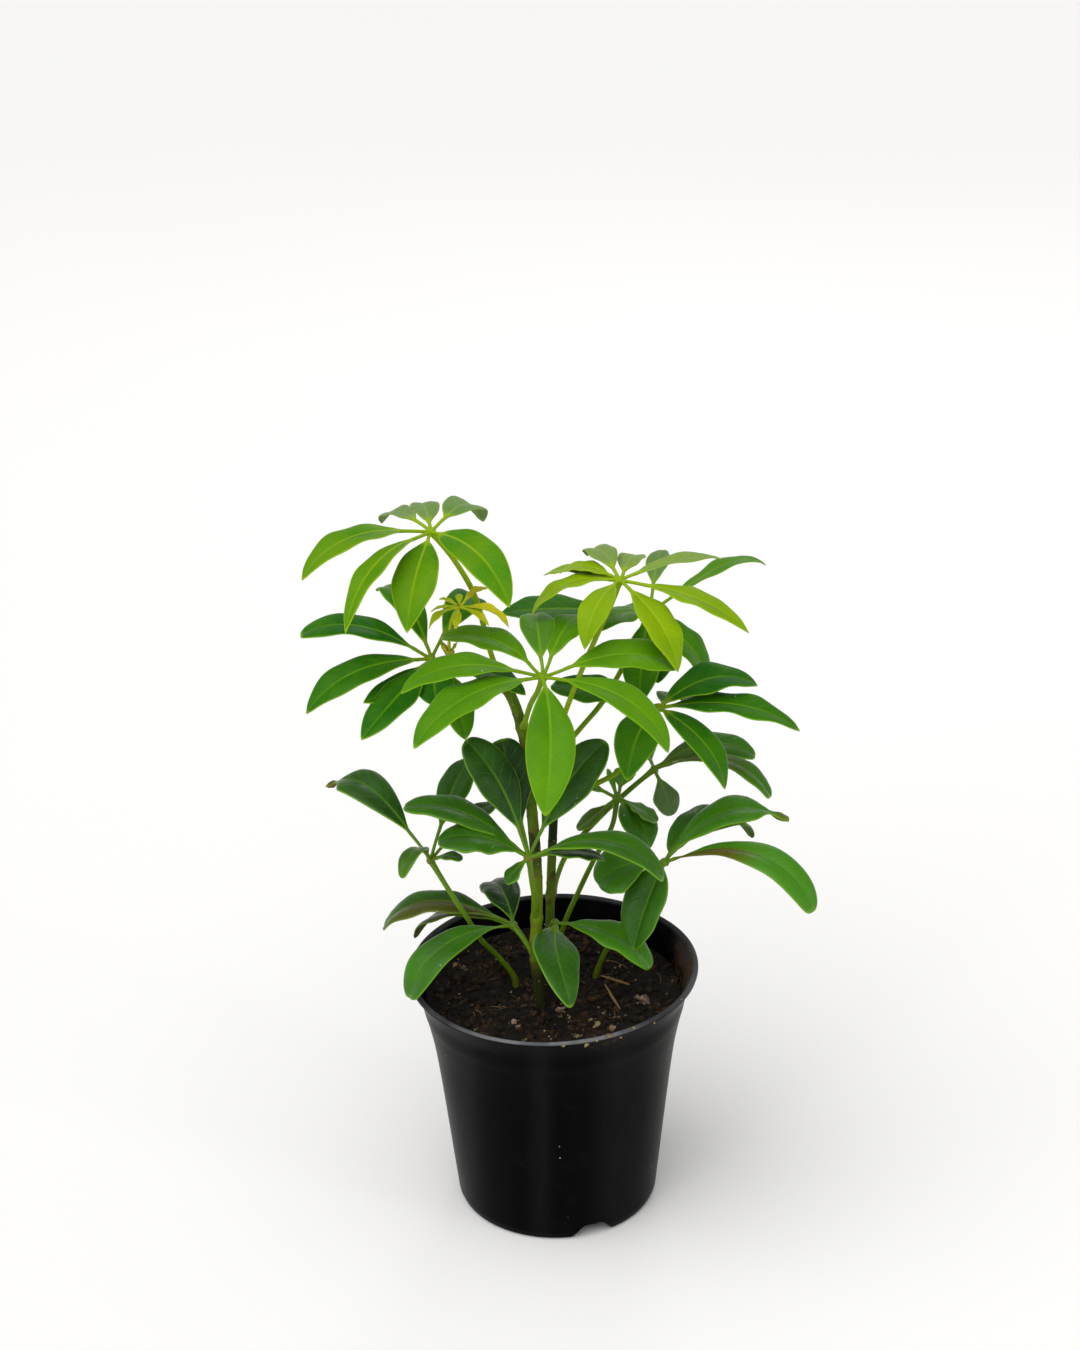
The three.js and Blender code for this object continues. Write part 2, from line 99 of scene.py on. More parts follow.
# How far out a form is widest, and how slowly it fills out from its base and from its tip
FORMS = {
    "young": (0.95, 0.85, 0.9),
    "middle": (1.05, 0.8, 0.75),
    "old": (1.25, 0.85, 0.5),
    "ovate": (0.8, 0.75, 0.6),
    "full": (0.95, 0.62, 0.8),
    "blunt": (1.35, 0.75, 0.42),
    "spoon": (1.6, 0.85, 0.38),
}

# Stems: shade is how much painted shade one carries all along
STEM_SIDES = 28
JOINT_SWELL = 0.42
RIDGE_SWELL = 0.16
CROWDED_HEIGHT = 166
STEMS = [
    {
        "node": "stem_main", "piece": "trunk_main", "radii": (2.5, 2.1), "shade": 0,
        "route": [(-6, -14, ROOT_END), (-6, -14, 90), (-6, -14, 97), (-7, -12, 120), (-6, -9, 153),
                  (-8, -5, 192), (-10, -2, 215), (-16, 2, 233), (-26, 8, 240), (-39, 13, 243)],
    },
    {
        "node": "stem_second", "piece": "trunk_second", "radii": (2.0, 1.7), "shade": 0.42,
        "route": [(-1, 6, ROOT_END), (-1, 6, 90), (-1, 6, 98), (-1, 6, 124), (0, 8, 148),
                  (2, 10, 180), (5, 12, 208)],
    },
]

# Fronds: a leaflet is (heading, stalk, length, width, rise, droop, roll, sweep, extras). It
# leaves the hub at the angle rise, droops and sweeps round by those angles along its length,
# and rolls about its midrib. Its form is the one of its age, unless another is given. tone is
# how light a frond or leaflet is within its age, pale how much painted grey sheen it carries,
# and brown is (amount, from, to, side of the midrib). A knob is a dried tip's neck and its end.
FRONDS = [
    dict(name="top_left", seat="stem_main", age="young", tone=0.1, hub=(-44, 5, 300),
         petiole=[(-18, 3.2, 234.4), (-23, 10, 248), (-28, 13, 269), (-36, 9, 287)], leaflets=[
        (211, 14, 48, 16.5, 14, 69, -3, 2, {"form": "full"}),
        (236, 12, 56, 11.5, 5, 77, 5, 3),
        (257, 6, 44, 18, -14, 52, 0, 0),
        (306, 6, 51, 16.5, 9, 75, 19, 2, {"form": "full"}),
        (60, 10.5, 34, 16, 13, 94, 9, 0, {"curl": 40, "pale": 0.45}),
        (100, 6, 26, 12, 18, 60, 0, 0, {"pale": 0.6}),
        (138, 9, 22, 13, 18, 90, 0, 0, {"pale": 0.75}),
    ]),
    dict(name="left", seat="stem_main", age="middle", fold=6, tone=0.18, hub=(-46, 5, 246),
         petiole=[(-25, 6, 238), (-36, 5, 241)], leaflets=[
        (173, 8, 48, 19, 32, 63, -6, 7, {"form": "blunt"}),
        (202, 6, 52, 17.5, 8, 61, -12, 4),
        (239, 5, 43, 16.5, -15, 22, -8, -16),
        (222, 5, 30, 11, -19, -12, -17, -8, {"tone": -0.1}),
        (276, 5, 19, 16, -21, 23, 5, 0, {"tone": -0.2}),
        (124, 6.5, 43, 14, 56, 100, 0, 0),
        (60, 12, 41, 14, 35, 97, 22, 11),
        (334, 8, 35, 17, 0, 35, 0, 0, {"tone": -0.1}),
        (300, 6, 32, 15, -25, 55, 0, 0, {"tone": 0.3}),
    ]),
    dict(name="young", seat="stem_main", form="young", age="bronze", fold=20, tone=0.25,
         hub_radius=1.3, stalk=0.42, hub_tint=0.9, hub=(-34, 2, 269.5),
         petiole=[(-39, 12, 244), (-38.8, 11.5, 252), (-37.2, 9, 262)], leaflets=[
        (346, 3, 20, 7, 5, 75, 0, 0, {"tone": 0.6}),
        (32, 3, 12, 5, 38, 60, 0, 0, {"tone": 0.4, "brown": (0.42, -1, 0, 0)}),
        (92, 2, 7, 3, 25, 40, 0, 0),
        (150, 2, 8, 3, 22, 40, 0, 0),
        (184, 3, 9, 3, 6, 50, 0, 0),
        (214, 3, 14, 4, 2, 75, 0, 0),
        (262, 3, 9, 4, -10, 60, 0, 0),
        (322, 3, 13, 4, -2, 50, 0, 0, {"tone": 0.4}),
    ]),
    dict(name="centre", seat="stem_main", age="middle", fold=9, tone=0.8, hub=(-2, -28, 252),
         petiole=[(-10, -3, 219), (-7, -12, 233), (-4, -21, 243)], leaflets=[
        (281, 4, 54.5, 19.5, -30, 30, -6, -27),
        (331, 10, 53, 18, 4, 76, 4, 0),
        (17, 11, 45, 18, 13, 48, 21, -10, {"form": "blunt"}),
        (67, 10, 33, 15, 30, 55, 0, 0, {"tone": -0.2}),
        (94, 9, 35, 14, 32, 62, 0, 0, {"tone": -0.2, "pale": 0.1}),
        (125, 9.5, 43, 17, 16, 35, -5, 41, {"form": "blunt"}),
        (192, 11, 48, 17, 20, 64, -9, 0),
        (216, 8, 57, 20, 9, 59, -3, 0),
    ]),
    dict(name="top_right", seat="stem_second", age="young", tone=0.75, hub=(29, 5, 278),
         petiole=[(5, 12, 207), (6, 10, 216), (9, 8.5, 226), (14, 8.5, 239), (21, 8, 256),
                  (27, 6, 271)], leaflets=[
        (243, 5, 35, 13, 0, 80, 0, 0),
        (310, 7, 39.5, 15.5, -20, 58, 3, -3),
        (338, 11, 46, 13.5, -3, 39, 3, -2),
        (21, 7.5, 38, 11.5, 14, 36, -3, 1, {"pale": 0.4}),
        (72, 6, 24, 11, 15, 60, 0, 0, {"pale": 0.5}),
        (190, 4, 37, 12, 10, 80, 0, 0),
        (147, 5, 32, 12, 6, 42, 0, 0),
        (118, 6, 24, 13, 34, 100, 0, 0, {"pale": 0.6}),
        (160, 5, 22, 12, 22, 70, 0, 0),
    ]),
    dict(name="back_right", seat="stem_second", age="middle", tone=0.35, hub=(42, 40, 249),
         petiole=[(4, 12, 200), (15, 17, 211), (22, 21, 218), (34, 32, 235)], leaflets=[
        (18, 13.5, 42, 13, 29, 71, -4, -8, {"bend": 3, "pale": 0.08, "tone": 0.15}),
        (77, 13.5, 21.5, 10, 42, 55, -5, -3, {"pale": 0.5}),
        (226, 5, 30, 18, 20, 48, 0, 0),
        (337, 2.5, 37, 20, -29, 53, 7, 11),
        (258, 4, 36, 16.5, -31, 47, 8, 2),
        (280, 4, 26, 17, -46, 10, 0, -5, {"tone": -0.35}),
        (190, 19, 43, 17.5, 9, 12, -18, 3, {"pale": 0.1, "tone": -0.2}),
        (118, 6, 30, 14, -8, 50, 0, 0),
    ]),
    dict(name="right", seat="stem_second", age="middle", tone=0.2, hub=(44, 0, 225),
         petiole=[(2, 9.7, 177), (9, 10, 182), (19, 10.5, 186.5), (28.5, 11, 192), (35, 9, 203),
                  (40, 4, 216)], leaflets=[
        (19, 3, 42, 20.5, 32, 72, 9, -10),
        (353, 4, 55, 18, 10, 50, 6, 0),
        (320, 3, 42, 16.5, -15, 68, 0, 5, {"form": "full"}),
        (241, 2.5, 39.5, 17.5, -2, 53, -16, 16, {"form": "full"}),
        (70, 6, 38, 16, -8, 40, 0, 0),
        (148, 6.5, 43.5, 18, 3, 12, -13, -2, {"form": "blunt", "tone": -0.1}),
    ]),
    dict(name="back_low_right", seat="stem_second", age="old", tone=0.6, hub=(44, 40, 178),
         petiole=[(0, 8, 137), (6, 22, 147), (20, 36, 157), (33, 40, 168)], leaflets=[
        (17, 3, 44, 16.5, 29, 73, 14.5, -17.5, {"form": "blunt", "brown": (0.4, 0.45, 0, 0)}),
        (345, 7, 50, 15, 24, 90, -5, -11, {"form": "spoon", "brown": (0.45, 1, 0.2, 0)}),
        (305, 4, 17, 13, -48, 25, 0, 0, {"pale": 0.4, "tone": -0.2}),
        (100, 6, 34, 12, 5, 50, 0, 0),
    ]),
    dict(name="back_centre", seat="soil", age="old", tone=1.1, hub=(28, 30, 170),
         petiole=[(2, 30, ROOT_END), (2, 30, 90), (2, 30, 97), (5, 30, 110), (12, 29, 128),
                  (18, 28, 142), (26, 29, 158)], leaflets=[
        (104, 2, 14, 3, 32, 20, 0, 0),
        (172, 5, 22, 12, 26, 30, 0, 0, {"tone": -0.3}),
        (193, 4.5, 17, 11.5, -36, 0, -5, -5, {"brown": (0.3, -1, 0, 0)}),
        (312, 3.5, 23.5, 18, -20, 59, 0, -1, {"form": "full", "tone": -0.35}),
        (330, 2.7, 17.5, 12, -11, 28, -10, 0, {"form": "spoon", "pale": 0.35}),
        (72, 5, 13, 10, 32, 40, 0, 0),
    ]),
    dict(name="low_centre", seat="stem_main", age="old", tone=0.54, hub=(-9, -25, 172),
         hub_tint=0.6,
         petiole=[(-7, -10.5, 136), (-7, -17, 147), (-8, -22, 160)], leaflets=[
        (159, 8, 49.5, 16.5, 36, 59, -9, 5, {"form": "blunt"}),
        (182, 4.5, 34.5, 21, 34, 64, -10, -5),
        (144.2, 11.9, 42.5, 17.5, 68.7, 31, -37.3, 17.1, {"form": "blunt", "tone": -0.45}),
        (117.3, 12.3, 36.3, 20, 66.2, 5.3, -7.1, 4.5, {"form": "spoon", "tone": -0.7}),
        (35, 12, 44.5, 21, 57, 33, 20, -4, {"tone": -0.3}),
        (347, 8, 55, 17, 28, 98, 5, 0, {"tone": 0.1}),
        (20, 6, 28, 14, 0, 40, 0, 0, {"tone": -0.4}),
        (210, 2, 12, 9, -30, 30, 0, 0, {"tone": -0.2}),
    ]),
    dict(name="left_outer", seat="soil", age="old", tone=0.27, hub=(-49, -5, 161), hub_tint=1.0,
         petiole=[(-16, 7, ROOT_END), (-16, 7, 90), (-16, 7, 97), (-23, 3, 111), (-29.5, -2.5, 122),
                  (-35.5, -6.5, 136), (-41, -8, 147)], leaflets=[
        (140, 14, 54, 18, 40, 108, -11, -4,
         {"bend": 2, "curl": 50, "brown": (0.7, 0.84, 0.9, 0), "knob": (0.9, 1.4)}),
        (252, 5, 30.5, 9.5, 52, 122, 12, -10, {"tone": 0.5, "brown": (0.12, -1, 0, 0)}),
        (66, 14, 36, 15, 46, 40, 0, 0),
        (40, 13, 26, 11, 32, 40, 0, 0),
        (331, 4, 12, 8, 30, 56, 0, 0),
    ]),
    dict(name="low_left", seat="stem_main", age="old", tone=0.55, hub=(-16, -5, 130),
         petiole=[(-7, -12, 118), (-12, -9, 126)], leaflets=[
        (162, 7, 57, 17.5, 20, 84, -9, 3,
         {"form": "blunt", "tone": -0.15, "brown": (0.45, -0.2, 0.3, 1)}),
        (147, 9, 49.5, 13, 1, 70, 0, -2, {"tone": -0.3, "brown": (0.3, -1, 0, 0)}),
        (207, 4.5, 54.5, 18.5, 10, 91, -8, 1, {"form": "spoon"}),
        (101, 2, 37.5, 16, 26, 68, -6, 13, {"tone": -0.6}),
    ]),
    dict(name="low_front", seat="stem_main", age="old", tone=0.25, hub=(1, -13.5, 132.5),
         petiole=[(-6.8, -11.4, 127), (-4, -12.5, 130.5)], leaflets=[
        (266, 1, 44, 20, 4, 54, -19, 25, {"form": "ovate"}),
    ]),
    dict(name="low_front_right", seat="stem_second", age="old", tone=1.15, hub=(1, 0, 128),
         petiole=[(-1, 6, 121), (0, 2.5, 126)], leaflets=[
        (335, 5, 42.5, 18, 8, 72, 6, 7, {"form": "blunt"}),
    ]),
    dict(name="low_right", seat="soil", age="old", tone=1.1, hub=(46, -5, 158),
         petiole=[(18, 9, ROOT_END), (18, 9, 90), (18, 9, 97), (21, 7, 108), (26, 4, 119),
                  (36, -1, 141)], leaflets=[
        (24, 6.5, 43, 16, 41, 116, -7, 3),
        (8, 4.5, 57, 19, 52, 108, 7, 4,
         {"curl": 40, "brown": (0.45, 0.84, 0.92, 0), "knob": (1.5, 0.9)}),
        (332, 5, 73, 16.5, 29, 104, 10, -8,
         {"form": "spoon", "bend": 1.8, "brown": (0.75, 0.62, 0.36, -1)}),
        (228, 2.5, 35.5, 23, -51, 21, 1, 0, {"form": "ovate", "fold": 25, "tone": -0.4}),
        (193, 4.5, 26, 24, 7, 67, -21, -9, {"form": "spoon", "tone": -0.35}),
        (61, 5.5, 38.5, 13.5, 20, 32, -2, 0, {"form": "full", "tone": -0.4}),
    ]),
]

# Columns of a blade's section, as shares of the half width
HALF_COLUMNS = [1, 0.975, 0.9, 0.76, 0.58, 0.4, 0.24, 0.12, 0.05, 0]
TOP_COLUMNS = np.array(HALF_COLUMNS + [-share for share in HALF_COLUMNS[-2::-1]])
COLUMNS = np.concatenate([TOP_COLUMNS, TOP_COLUMNS[-2:0:-1]])
IS_UNDER = np.concatenate([np.zeros(len(TOP_COLUMNS)), np.ones(len(TOP_COLUMNS) - 2)])
IS_UNDER[[0, len(TOP_COLUMNS) - 1]] = 0.35


# ---------------------------------------------------------------- shapes

def unit(vectors):
    return vectors / np.linalg.norm(vectors, axis=-1, keepdims=True)


def smooth(low, high, value):
    """0 below low, 1 above high, with a smooth rise between them"""
    share = np.clip((value - low) / (high - low), 0, 1)
    return share * share * (3 - 2 * share)


def bell(distance, width):
    """1 where the distance is 0, falling away on both sides"""
    return np.exp(-(distance / width) ** 2)


def round_angles(count):
    return np.arange(count) / count * 2 * math.pi


def distance_along(line):
    """How far along a line of evenly spaced points each one lies"""
    return np.linspace(0, np.linalg.norm(np.diff(line, axis=0), axis=1).sum(), len(line))


class Shell:
    """The points, faces and per-point values of a piece while it is made"""

    def __init__(self, *names):
        self.points = []
        self.faces = []
        self.values = {name: [] for name in names}
        self.count = 0

    def add(self, points, faces, **values):
        points = np.asarray(points, float)
        self.points.append(points)
        for face in faces:
            self.faces.append([index + self.count for index in face])
        for name, kept in self.values.items():
            kept.append(np.broadcast_to(values.get(name, 0.0), len(points)).astype(float))
        self.count += len(points)

    def loft(self, rings, **values):
        """A closed skin over rings of points, which run anticlockwise seen from the far end"""
        count, around = rings.shape[:2]
        low = np.arange(count - 1)[:, None] * around + np.arange(around)
        turn = np.arange(count - 1)[:, None] * around + (np.arange(around) + 1) % around
        faces = np.stack([low, turn, turn + around, low + around], -1).reshape(-1, 4).tolist()
        first, last = count * around, count * around + 1
        end = (count - 1) * around
        for side in range(around):
            after = (side + 1) % around
            faces.append([first, after, side])
            faces.append([last, end + side, end + after])
        ends = np.stack([rings[0].mean(0), rings[-1].mean(0)])
        spread = {}
        for name, value in values.items():
            value = np.broadcast_to(value, rings.shape[:2])
            spread[name] = np.concatenate([value.ravel(), [value[0].mean(), value[-1].mean()]])
        self.add(np.concatenate([rings.reshape(-1, 3), ends]), faces, **spread)

    def make(self, name, material):
        mesh = bpy.data.meshes.new(name)
        points = np.concatenate(self.points) * MM
        mesh.from_pydata(points.tolist(), [], self.faces)
        for label, kept in self.values.items():
            layer = mesh.attributes.new(label, "FLOAT", "POINT")
            layer.data.foreach_set("value", np.concatenate(kept).astype(np.float32))
        mesh.shade_smooth()
        mesh.validate()
        piece = bpy.data.objects.new(name, mesh)
        bpy.context.scene.collection.objects.link(piece)
        mesh.materials.append(material)
        return piece


def smooth_route(points, spacing):
    """Evenly spaced points on a smooth curve through the given ones"""
    points = np.array(points, float)
    guides = np.vstack([2 * points[0] - points[1], points, 2 * points[-1] - points[-2]])
    share = np.linspace(0, 1, 24, endpoint=False)[:, None]
    dense = []
    for start in range(len(points) - 1):
        p0, p1, p2, p3 = guides[start:start + 4]
        d0, d1, d2 = (math.sqrt(np.linalg.norm(b - a)) for a, b in ((p0, p1), (p1, p2), (p2, p3)))
        leave = ((p1 - p0) / d0 - (p2 - p0) / (d0 + d1) + (p2 - p1) / d1) * d1
        arrive = ((p2 - p1) / d1 - (p3 - p1) / (d1 + d2) + (p3 - p2) / d2) * d1
        square = -3 * p1 + 3 * p2 - 2 * leave - arrive
        cube = 2 * p1 - 2 * p2 + leave + arrive
        dense.append(p1 + leave * share + square * share ** 2 + cube * share ** 3)
    dense = np.vstack(dense + [points[-1:]])
    run = np.concatenate([[0], np.cumsum(np.linalg.norm(np.diff(dense, axis=0), axis=1))])
    places = np.linspace(0, run[-1], max(4, round(run[-1] / spacing)) + 1)
    return np.stack([np.interp(places, run, dense[:, axis]) for axis in range(3)], 1)


def frames_along(line):
    """Two directions across a line at each of its points, turning as little as they can"""
    ahead = unit(np.gradient(line, axis=0))
    side = np.cross(ahead[0], (0, 1, 0) if abs(ahead[0][1]) < 0.9 else (1, 0, 0))
    sides = []
    for direction in ahead:
        side = unit(side - direction * side.dot(direction))
        sides.append(side)
    sides = np.array(sides)
    return sides, np.cross(ahead, sides)


def tube(shell, line, radius, around, **values):
    """A round body along a line. radius is one number for each ring, or for each point"""
    sides, ups = frames_along(line)
    angles = round_angles(around)
    reach = np.broadcast_to(radius, (len(line), around))[..., None]
    across = np.cos(angles)[:, None] * sides[:, None] + np.sin(angles)[:, None] * ups[:, None]
    shell.loft(line[:, None] + reach * across, **values)


def leaflet(shell, hub, row, frond, chance):
    """One closed skin for a leaflet: its stalk, which opens into a blade with a rib and veins"""
    heading, stalk, length, width, rise, droop, roll, sweep = row[:8]
    extras = row[8] if len(row) > 8 else {}
    form = extras.get("form", frond.get("form", frond["age"]))
    peak, base_power, tip_power = FORMS[form]
    fold = math.radians(extras.get("fold", frond.get("fold", FOLD)))
    bend = extras.get("bend", BEND)
    curl = extras.get("curl", 0)
    thin = frond.get("stalk", STALK_RADIUS)
    thick, full, rolled = OLD_BLADE if frond["age"] == "old" else OTHER_BLADE

    def heading_and_pitch(share):
        flick = np.clip((share - CURL_START) / (1 - CURL_START), 0, None)
        return (
            np.radians(heading + sweep * share),
            np.radians(rise - droop * share ** bend + curl * flick ** 2),
        )

    def ahead(share):
        turn, pitch = heading_and_pitch(share)
        level = np.cos(pitch)
        return np.stack([np.cos(turn) * level, np.sin(turn) * level, np.sin(pitch)], -1)

    # The midrib
    base = hub + ahead(np.array(0.0)) * stalk
    steps = ahead((np.arange(RIB_STEPS) + 0.5) / RIB_STEPS) * (length / RIB_STEPS)
    rib = base + np.concatenate([np.zeros((1, 3)), np.cumsum(steps, 0)])
    grid = np.linspace(0, 1, RIB_STEPS + 1)

    # Rings: first the stalk's, then the blade's, which are closer together at its ends
    even = np.linspace(0, 1, int(np.clip(round(length * 0.8), 18, 42)))
    blade_share = 0.2 * even + 0.4 * (1 - np.cos(np.pi * even))
    stalk_share = np.array([0, 0.1, 0.2, 0.35, 0.55, 0.75, 0.9])
    share = np.concatenate([np.zeros(len(stalk_share)), blade_share])
    out = np.concatenate([stalk_share * stalk, stalk + blade_share * length])
    centre = np.stack([np.interp(share, grid, rib[:, axis]) for axis in range(3)], 1)
    arch = chance.uniform(-0.35, 0.35) * np.sin(np.pi * stalk_share)
    centre[:len(stalk_share)] = hub + np.outer(stalk_share * stalk, ahead(np.array(0.0)))
    turn, pitch = heading_and_pitch(share)

    # Outline
    swell = np.sin(np.pi * share ** peak).clip(0)
    half = width / 2 * swell ** (base_power + (tip_power - base_power) * share)
    stem = thin * (1 + 0.5 * bell(out, 1.7) + 0.15 * bell(out - stalk, 1.5))
    half = (half ** 3 + (stem * (1 - share ** 6)) ** 3) ** (1 / 3)
    if "knob" in extras:
        # The tip has dried to a narrow neck with a small curled end
        neck, knob = extras["knob"]
        dried = neck + knob * bell(share - 0.93, 0.04)
        half += smooth(0.68, 0.87, share) * (np.minimum(half, dried) - half)
    half = np.maximum(half, 0.04)
    dried_end = smooth(0.83, 0.88, share)[:, None] * ("knob" in extras)
    blade = smooth(0, BLADE_START, share * length)
    opening = np.minimum(1, half / OPEN_WIDTH)

    side = np.stack([-np.sin(turn), np.cos(turn), 0 * turn], 1)
    upright = np.stack(
        [-np.sin(pitch) * np.cos(turn), -np.sin(pitch) * np.sin(turn), np.cos(pitch)], 1,
    )
    centre[:len(stalk_share)] += side[:len(stalk_share)] * arch[:, None]
    lean = np.radians(roll) * opening[:, None]
    side, upright = (
        side * np.cos(lean) + upright * np.sin(lean),
        upright * np.cos(lean) - side * np.sin(lean),
    )

    # Section: a shallow fold, halves that swell a little, margins that roll back and wave
    stem, half, opening, m, s = (values[:, None] for values in (stem, half, opening, blade, share))
    x = half * COLUMNS
    u = np.abs(COLUMNS)
    angle = fold * opening
    sheet = np.abs(x) * np.sin(angle)
    sheet = sheet + m * half * full * u * (1 - u)
    sheet = sheet - m * half * rolled * u ** 5
    wave = 0
    for _ in range(2):
        cycles = chance.uniform(1.3, 3.4)
        phase = chance.uniform(0, 2 * math.pi)
        apart = chance.uniform(1.5, 4.5)
        wave = wave + np.sin(2 * np.pi * cycles * s + phase + apart * (COLUMNS > 0))
    sheet = sheet + m * wave * u ** 2 * np.sin(np.pi * s) * (0.22 + 0.012 * width)
    veins = (s * length - 0.8 * np.abs(x)) / VEIN_SPACING + 0.25 * np.sign(COLUMNS)
    sheet = sheet - m * VEIN_DEPTH * np.cos(2 * np.pi * veins) * 4 * u * (1 - u) * opening

    thickness = (1 - m) * stem * np.sqrt(1 - u ** 2)
    thickness = thickness + m * thick * np.sqrt(1 - u ** 8) * np.minimum(1, half / 1.3)
    thickness = np.maximum(thickness, dried_end * 0.62 * half * np.sqrt(1 - u ** 2))
    rib_mark = bell(x, RIB_WIDTH) * m * opening
    groove = RIB_GROOVE * rib_mark
    keel = (RIB_KEEL - 0.6 * s) * rib_mark
    up = np.where(IS_UNDER < 0.5, sheet + thickness - groove, sheet - thickness - keel)

    outwards = (x * np.cos(angle))[..., None] * side[:, None]
    rings = centre[:, None] + outwards + up[..., None] * upright[:, None]
    tone = np.clip(frond["tone"] + extras.get("tone", 0) + chance.uniform(-0.13, 0.13), -0.3, 1.2)
    amount, start, end, half_side = extras.get("brown", (0, 0, 1, 0))
    brown = amount * smooth(start, end, s)
    if half_side:
        brown = brown * smooth(-0.2, 0.1, half_side * COLUMNS)
    shell.loft(
        rings, across=x, edge=half * (1 - u), along=s * length, share=s, tone=tone,
        under=IS_UNDER, blade=m, pale=extras.get("pale", 0), brown=brown,
    )


def turn_between(angle, other):
    """The turn from one angle to another, the short way round"""
    return np.angle(np.exp(1j * (angle - other)))


def knuckle(shell, place, direction, radius, lumps, tint):
    """The small swollen joint that a ring of leaflets grows from"""
    direction = unit(np.array(direction, float))
    rise = np.linspace(-1, 1, 13)
    line = place + np.outer(rise * radius * 0.85, direction)
    angles = round_angles(STEM_SIDES)
    sides, ups = frames_along(line)
    heading = np.arctan2(
        np.cos(angles) * sides[0][1] + np.sin(angles) * ups[0][1],
        np.cos(angles) * sides[0][0] + np.sin(angles) * ups[0][0],
    )
    lump = sum(bell(turn_between(heading, math.radians(each)), 0.22) for each in lumps)
    belly = np.sqrt((1 - rise ** 2).clip(0.002))
    radii = radius * belly[:, None] * (0.9 + 0.2 * lump * bell(rise[:, None], 0.6))
    tube(shell, line, radii, STEM_SIDES, knot=tint, **FAR_FROM_BLADE)


def frond_piece(frond, material):
    chance = random.Random("frond " + frond["name"])
    shell = Shell("across", "edge", "along", "share", "tone", "under", "blade", "knot", "foot",
                  "pale", "brown")
    hub = np.array(frond["hub"], float)
    line = smooth_route(frond["petiole"] + [frond["hub"]], 1.6)
    run = distance_along(line)
    thick = YOUNG_PETIOLE_RADIUS if frond["age"] == "bronze" else PETIOLE_RADIUS
    if frond["seat"] == "soil":
        # It stands in the soil, so what counts as its foot is where it comes out
        above = np.clip(line[:, 2] - SOIL_TOP, 0, None)
        swell = 0.5 * bell(above, 6)
        foot = bell(above, 9)
    else:
        swell = 0.75 * bell(run, 3.2)
        foot = 0.6 * bell(run, 3.0)
    swell = swell + 0.3 * bell(run[-1] - run, 3.5)
    angles = round_angles(PETIOLE_SIDES)
    ridges = 0.035 * np.sin(5 * angles + chance.uniform(0, 6)) + 0.02 * np.sin(3 * angles)
    unrest = 0.03 * np.sin(run / 3.1 + chance.uniform(0, 6))
    radius = (thick * (1 + swell + unrest))[:, None] * (1 + ridges)
    tube(shell, line, radius, PETIOLE_SIDES, foot=foot[:, None], **FAR_FROM_BLADE)
    knuckle(
        shell, hub, line[-1] - line[-4], frond.get("hub_radius", 2.0),
        [row[0] for row in frond["leaflets"]], frond.get("hub_tint", 0.15),
    )
    for row in frond["leaflets"]:
        leaflet(shell, hub, row, frond, chance)
    piece = shell.make("leaves_" + frond["name"], material)
    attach(piece, "root")
    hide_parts("frond_" + frond["name"])
    "leaf_" + frond["age"]


def stem_piece(stem, seats, material):
    chance = random.Random("stem " + stem["piece"])
    shell = Shell("scar", "shade")
    line = smooth_route(stem["route"], 0.9)
    run = distance_along(line)
    thick = np.interp(run, [0, run[-1]], stem["radii"])
    angles = round_angles(STEM_SIDES)
    radius = np.repeat(thick[:, None], STEM_SIDES, 1)
    for lobes in (3, 5, 8):
        phase = chance.uniform(0, 6)
        twist = chance.uniform(-0.02, 0.02)
        radius *= 1 + 0.018 * np.sin(lobes * (angles + twist * run[:, None]) + phase)
    scar = np.zeros_like(radius)
    # Swollen joints where leaf stalks sit, and thin ridges where older ones have dropped
    for seat in seats:
        near = run[np.linalg.norm(line - np.array(seat), axis=1).argmin()]
        radius += JOINT_SWELL * bell(run - near, 1.6)[:, None]
        scar += 0.5 * bell(run - near + 2.2, 0.7)[:, None]
    place = SOIL_TOP + 6 - ROOT_END + chance.uniform(0, 6)
    while place < run[-1] - 6:
        place += chance.uniform(7, 15)
        turn = turn_between(angles, chance.uniform(0, 2 * math.pi))
        off = run[:, None] - place - 0.9 * np.cos(turn)
        ring = bell(off, 0.45)
        radius += RIDGE_SWELL * ring
        moon = bell(off - 1.2, 0.8) * bell(turn, 0.8)
        scar += 0.9 * moon + 0.25 * ring
    # Painted shade where leaf stalks crowd round it, and all along the stem behind
    shade = stem["shade"] + 0.6 * np.exp(-((line[:, 2] - CROWDED_HEIGHT) / 9) ** 4)
    end = np.sqrt((1 - np.clip(1 - (run[-1] - run) / 1.8, 0, 1) ** 2).clip(0.01))
    radius *= end[:, None]
    tube(shell, line, radius, STEM_SIDES, scar=np.clip(scar, 0, 1), shade=shade[:, None])
    piece = shell.make(stem["piece"], material)
    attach(piece, "root")
    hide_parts(stem["node"])


def wall_inside(height):
    """The inside radius of the pot's wall at a height"""
    stations = FLARE + [(POT_HEIGHT - FLOOR, FOOT_RADIUS + 1.3)]
    return float(np.interp(POT_HEIGHT - height, *zip(*stations))) - WALL


def soil_height(x, y):
    edge = 1 - (math.hypot(x, y) / SOIL_RADIUS) ** 4
    waves = math.sin(x * 0.13 + 0.6) * math.cos(y * 0.11 - 0.4)
    waves += 0.5 * math.sin(x * 0.07 - y * 0.16)
    rough = 0
    for depth, scale, shift in SOIL_ROUGHNESS:
        rough += depth * noise.noise(Vector((x * scale, y * scale, shift)))
    return SOIL_TOP + SOIL_HEAVE * waves * edge + rough


def on_soil(x, y, lift=0):
    """A point on the soil's surface, or a little above it"""
    return x, y, soil_height(x, y) + lift


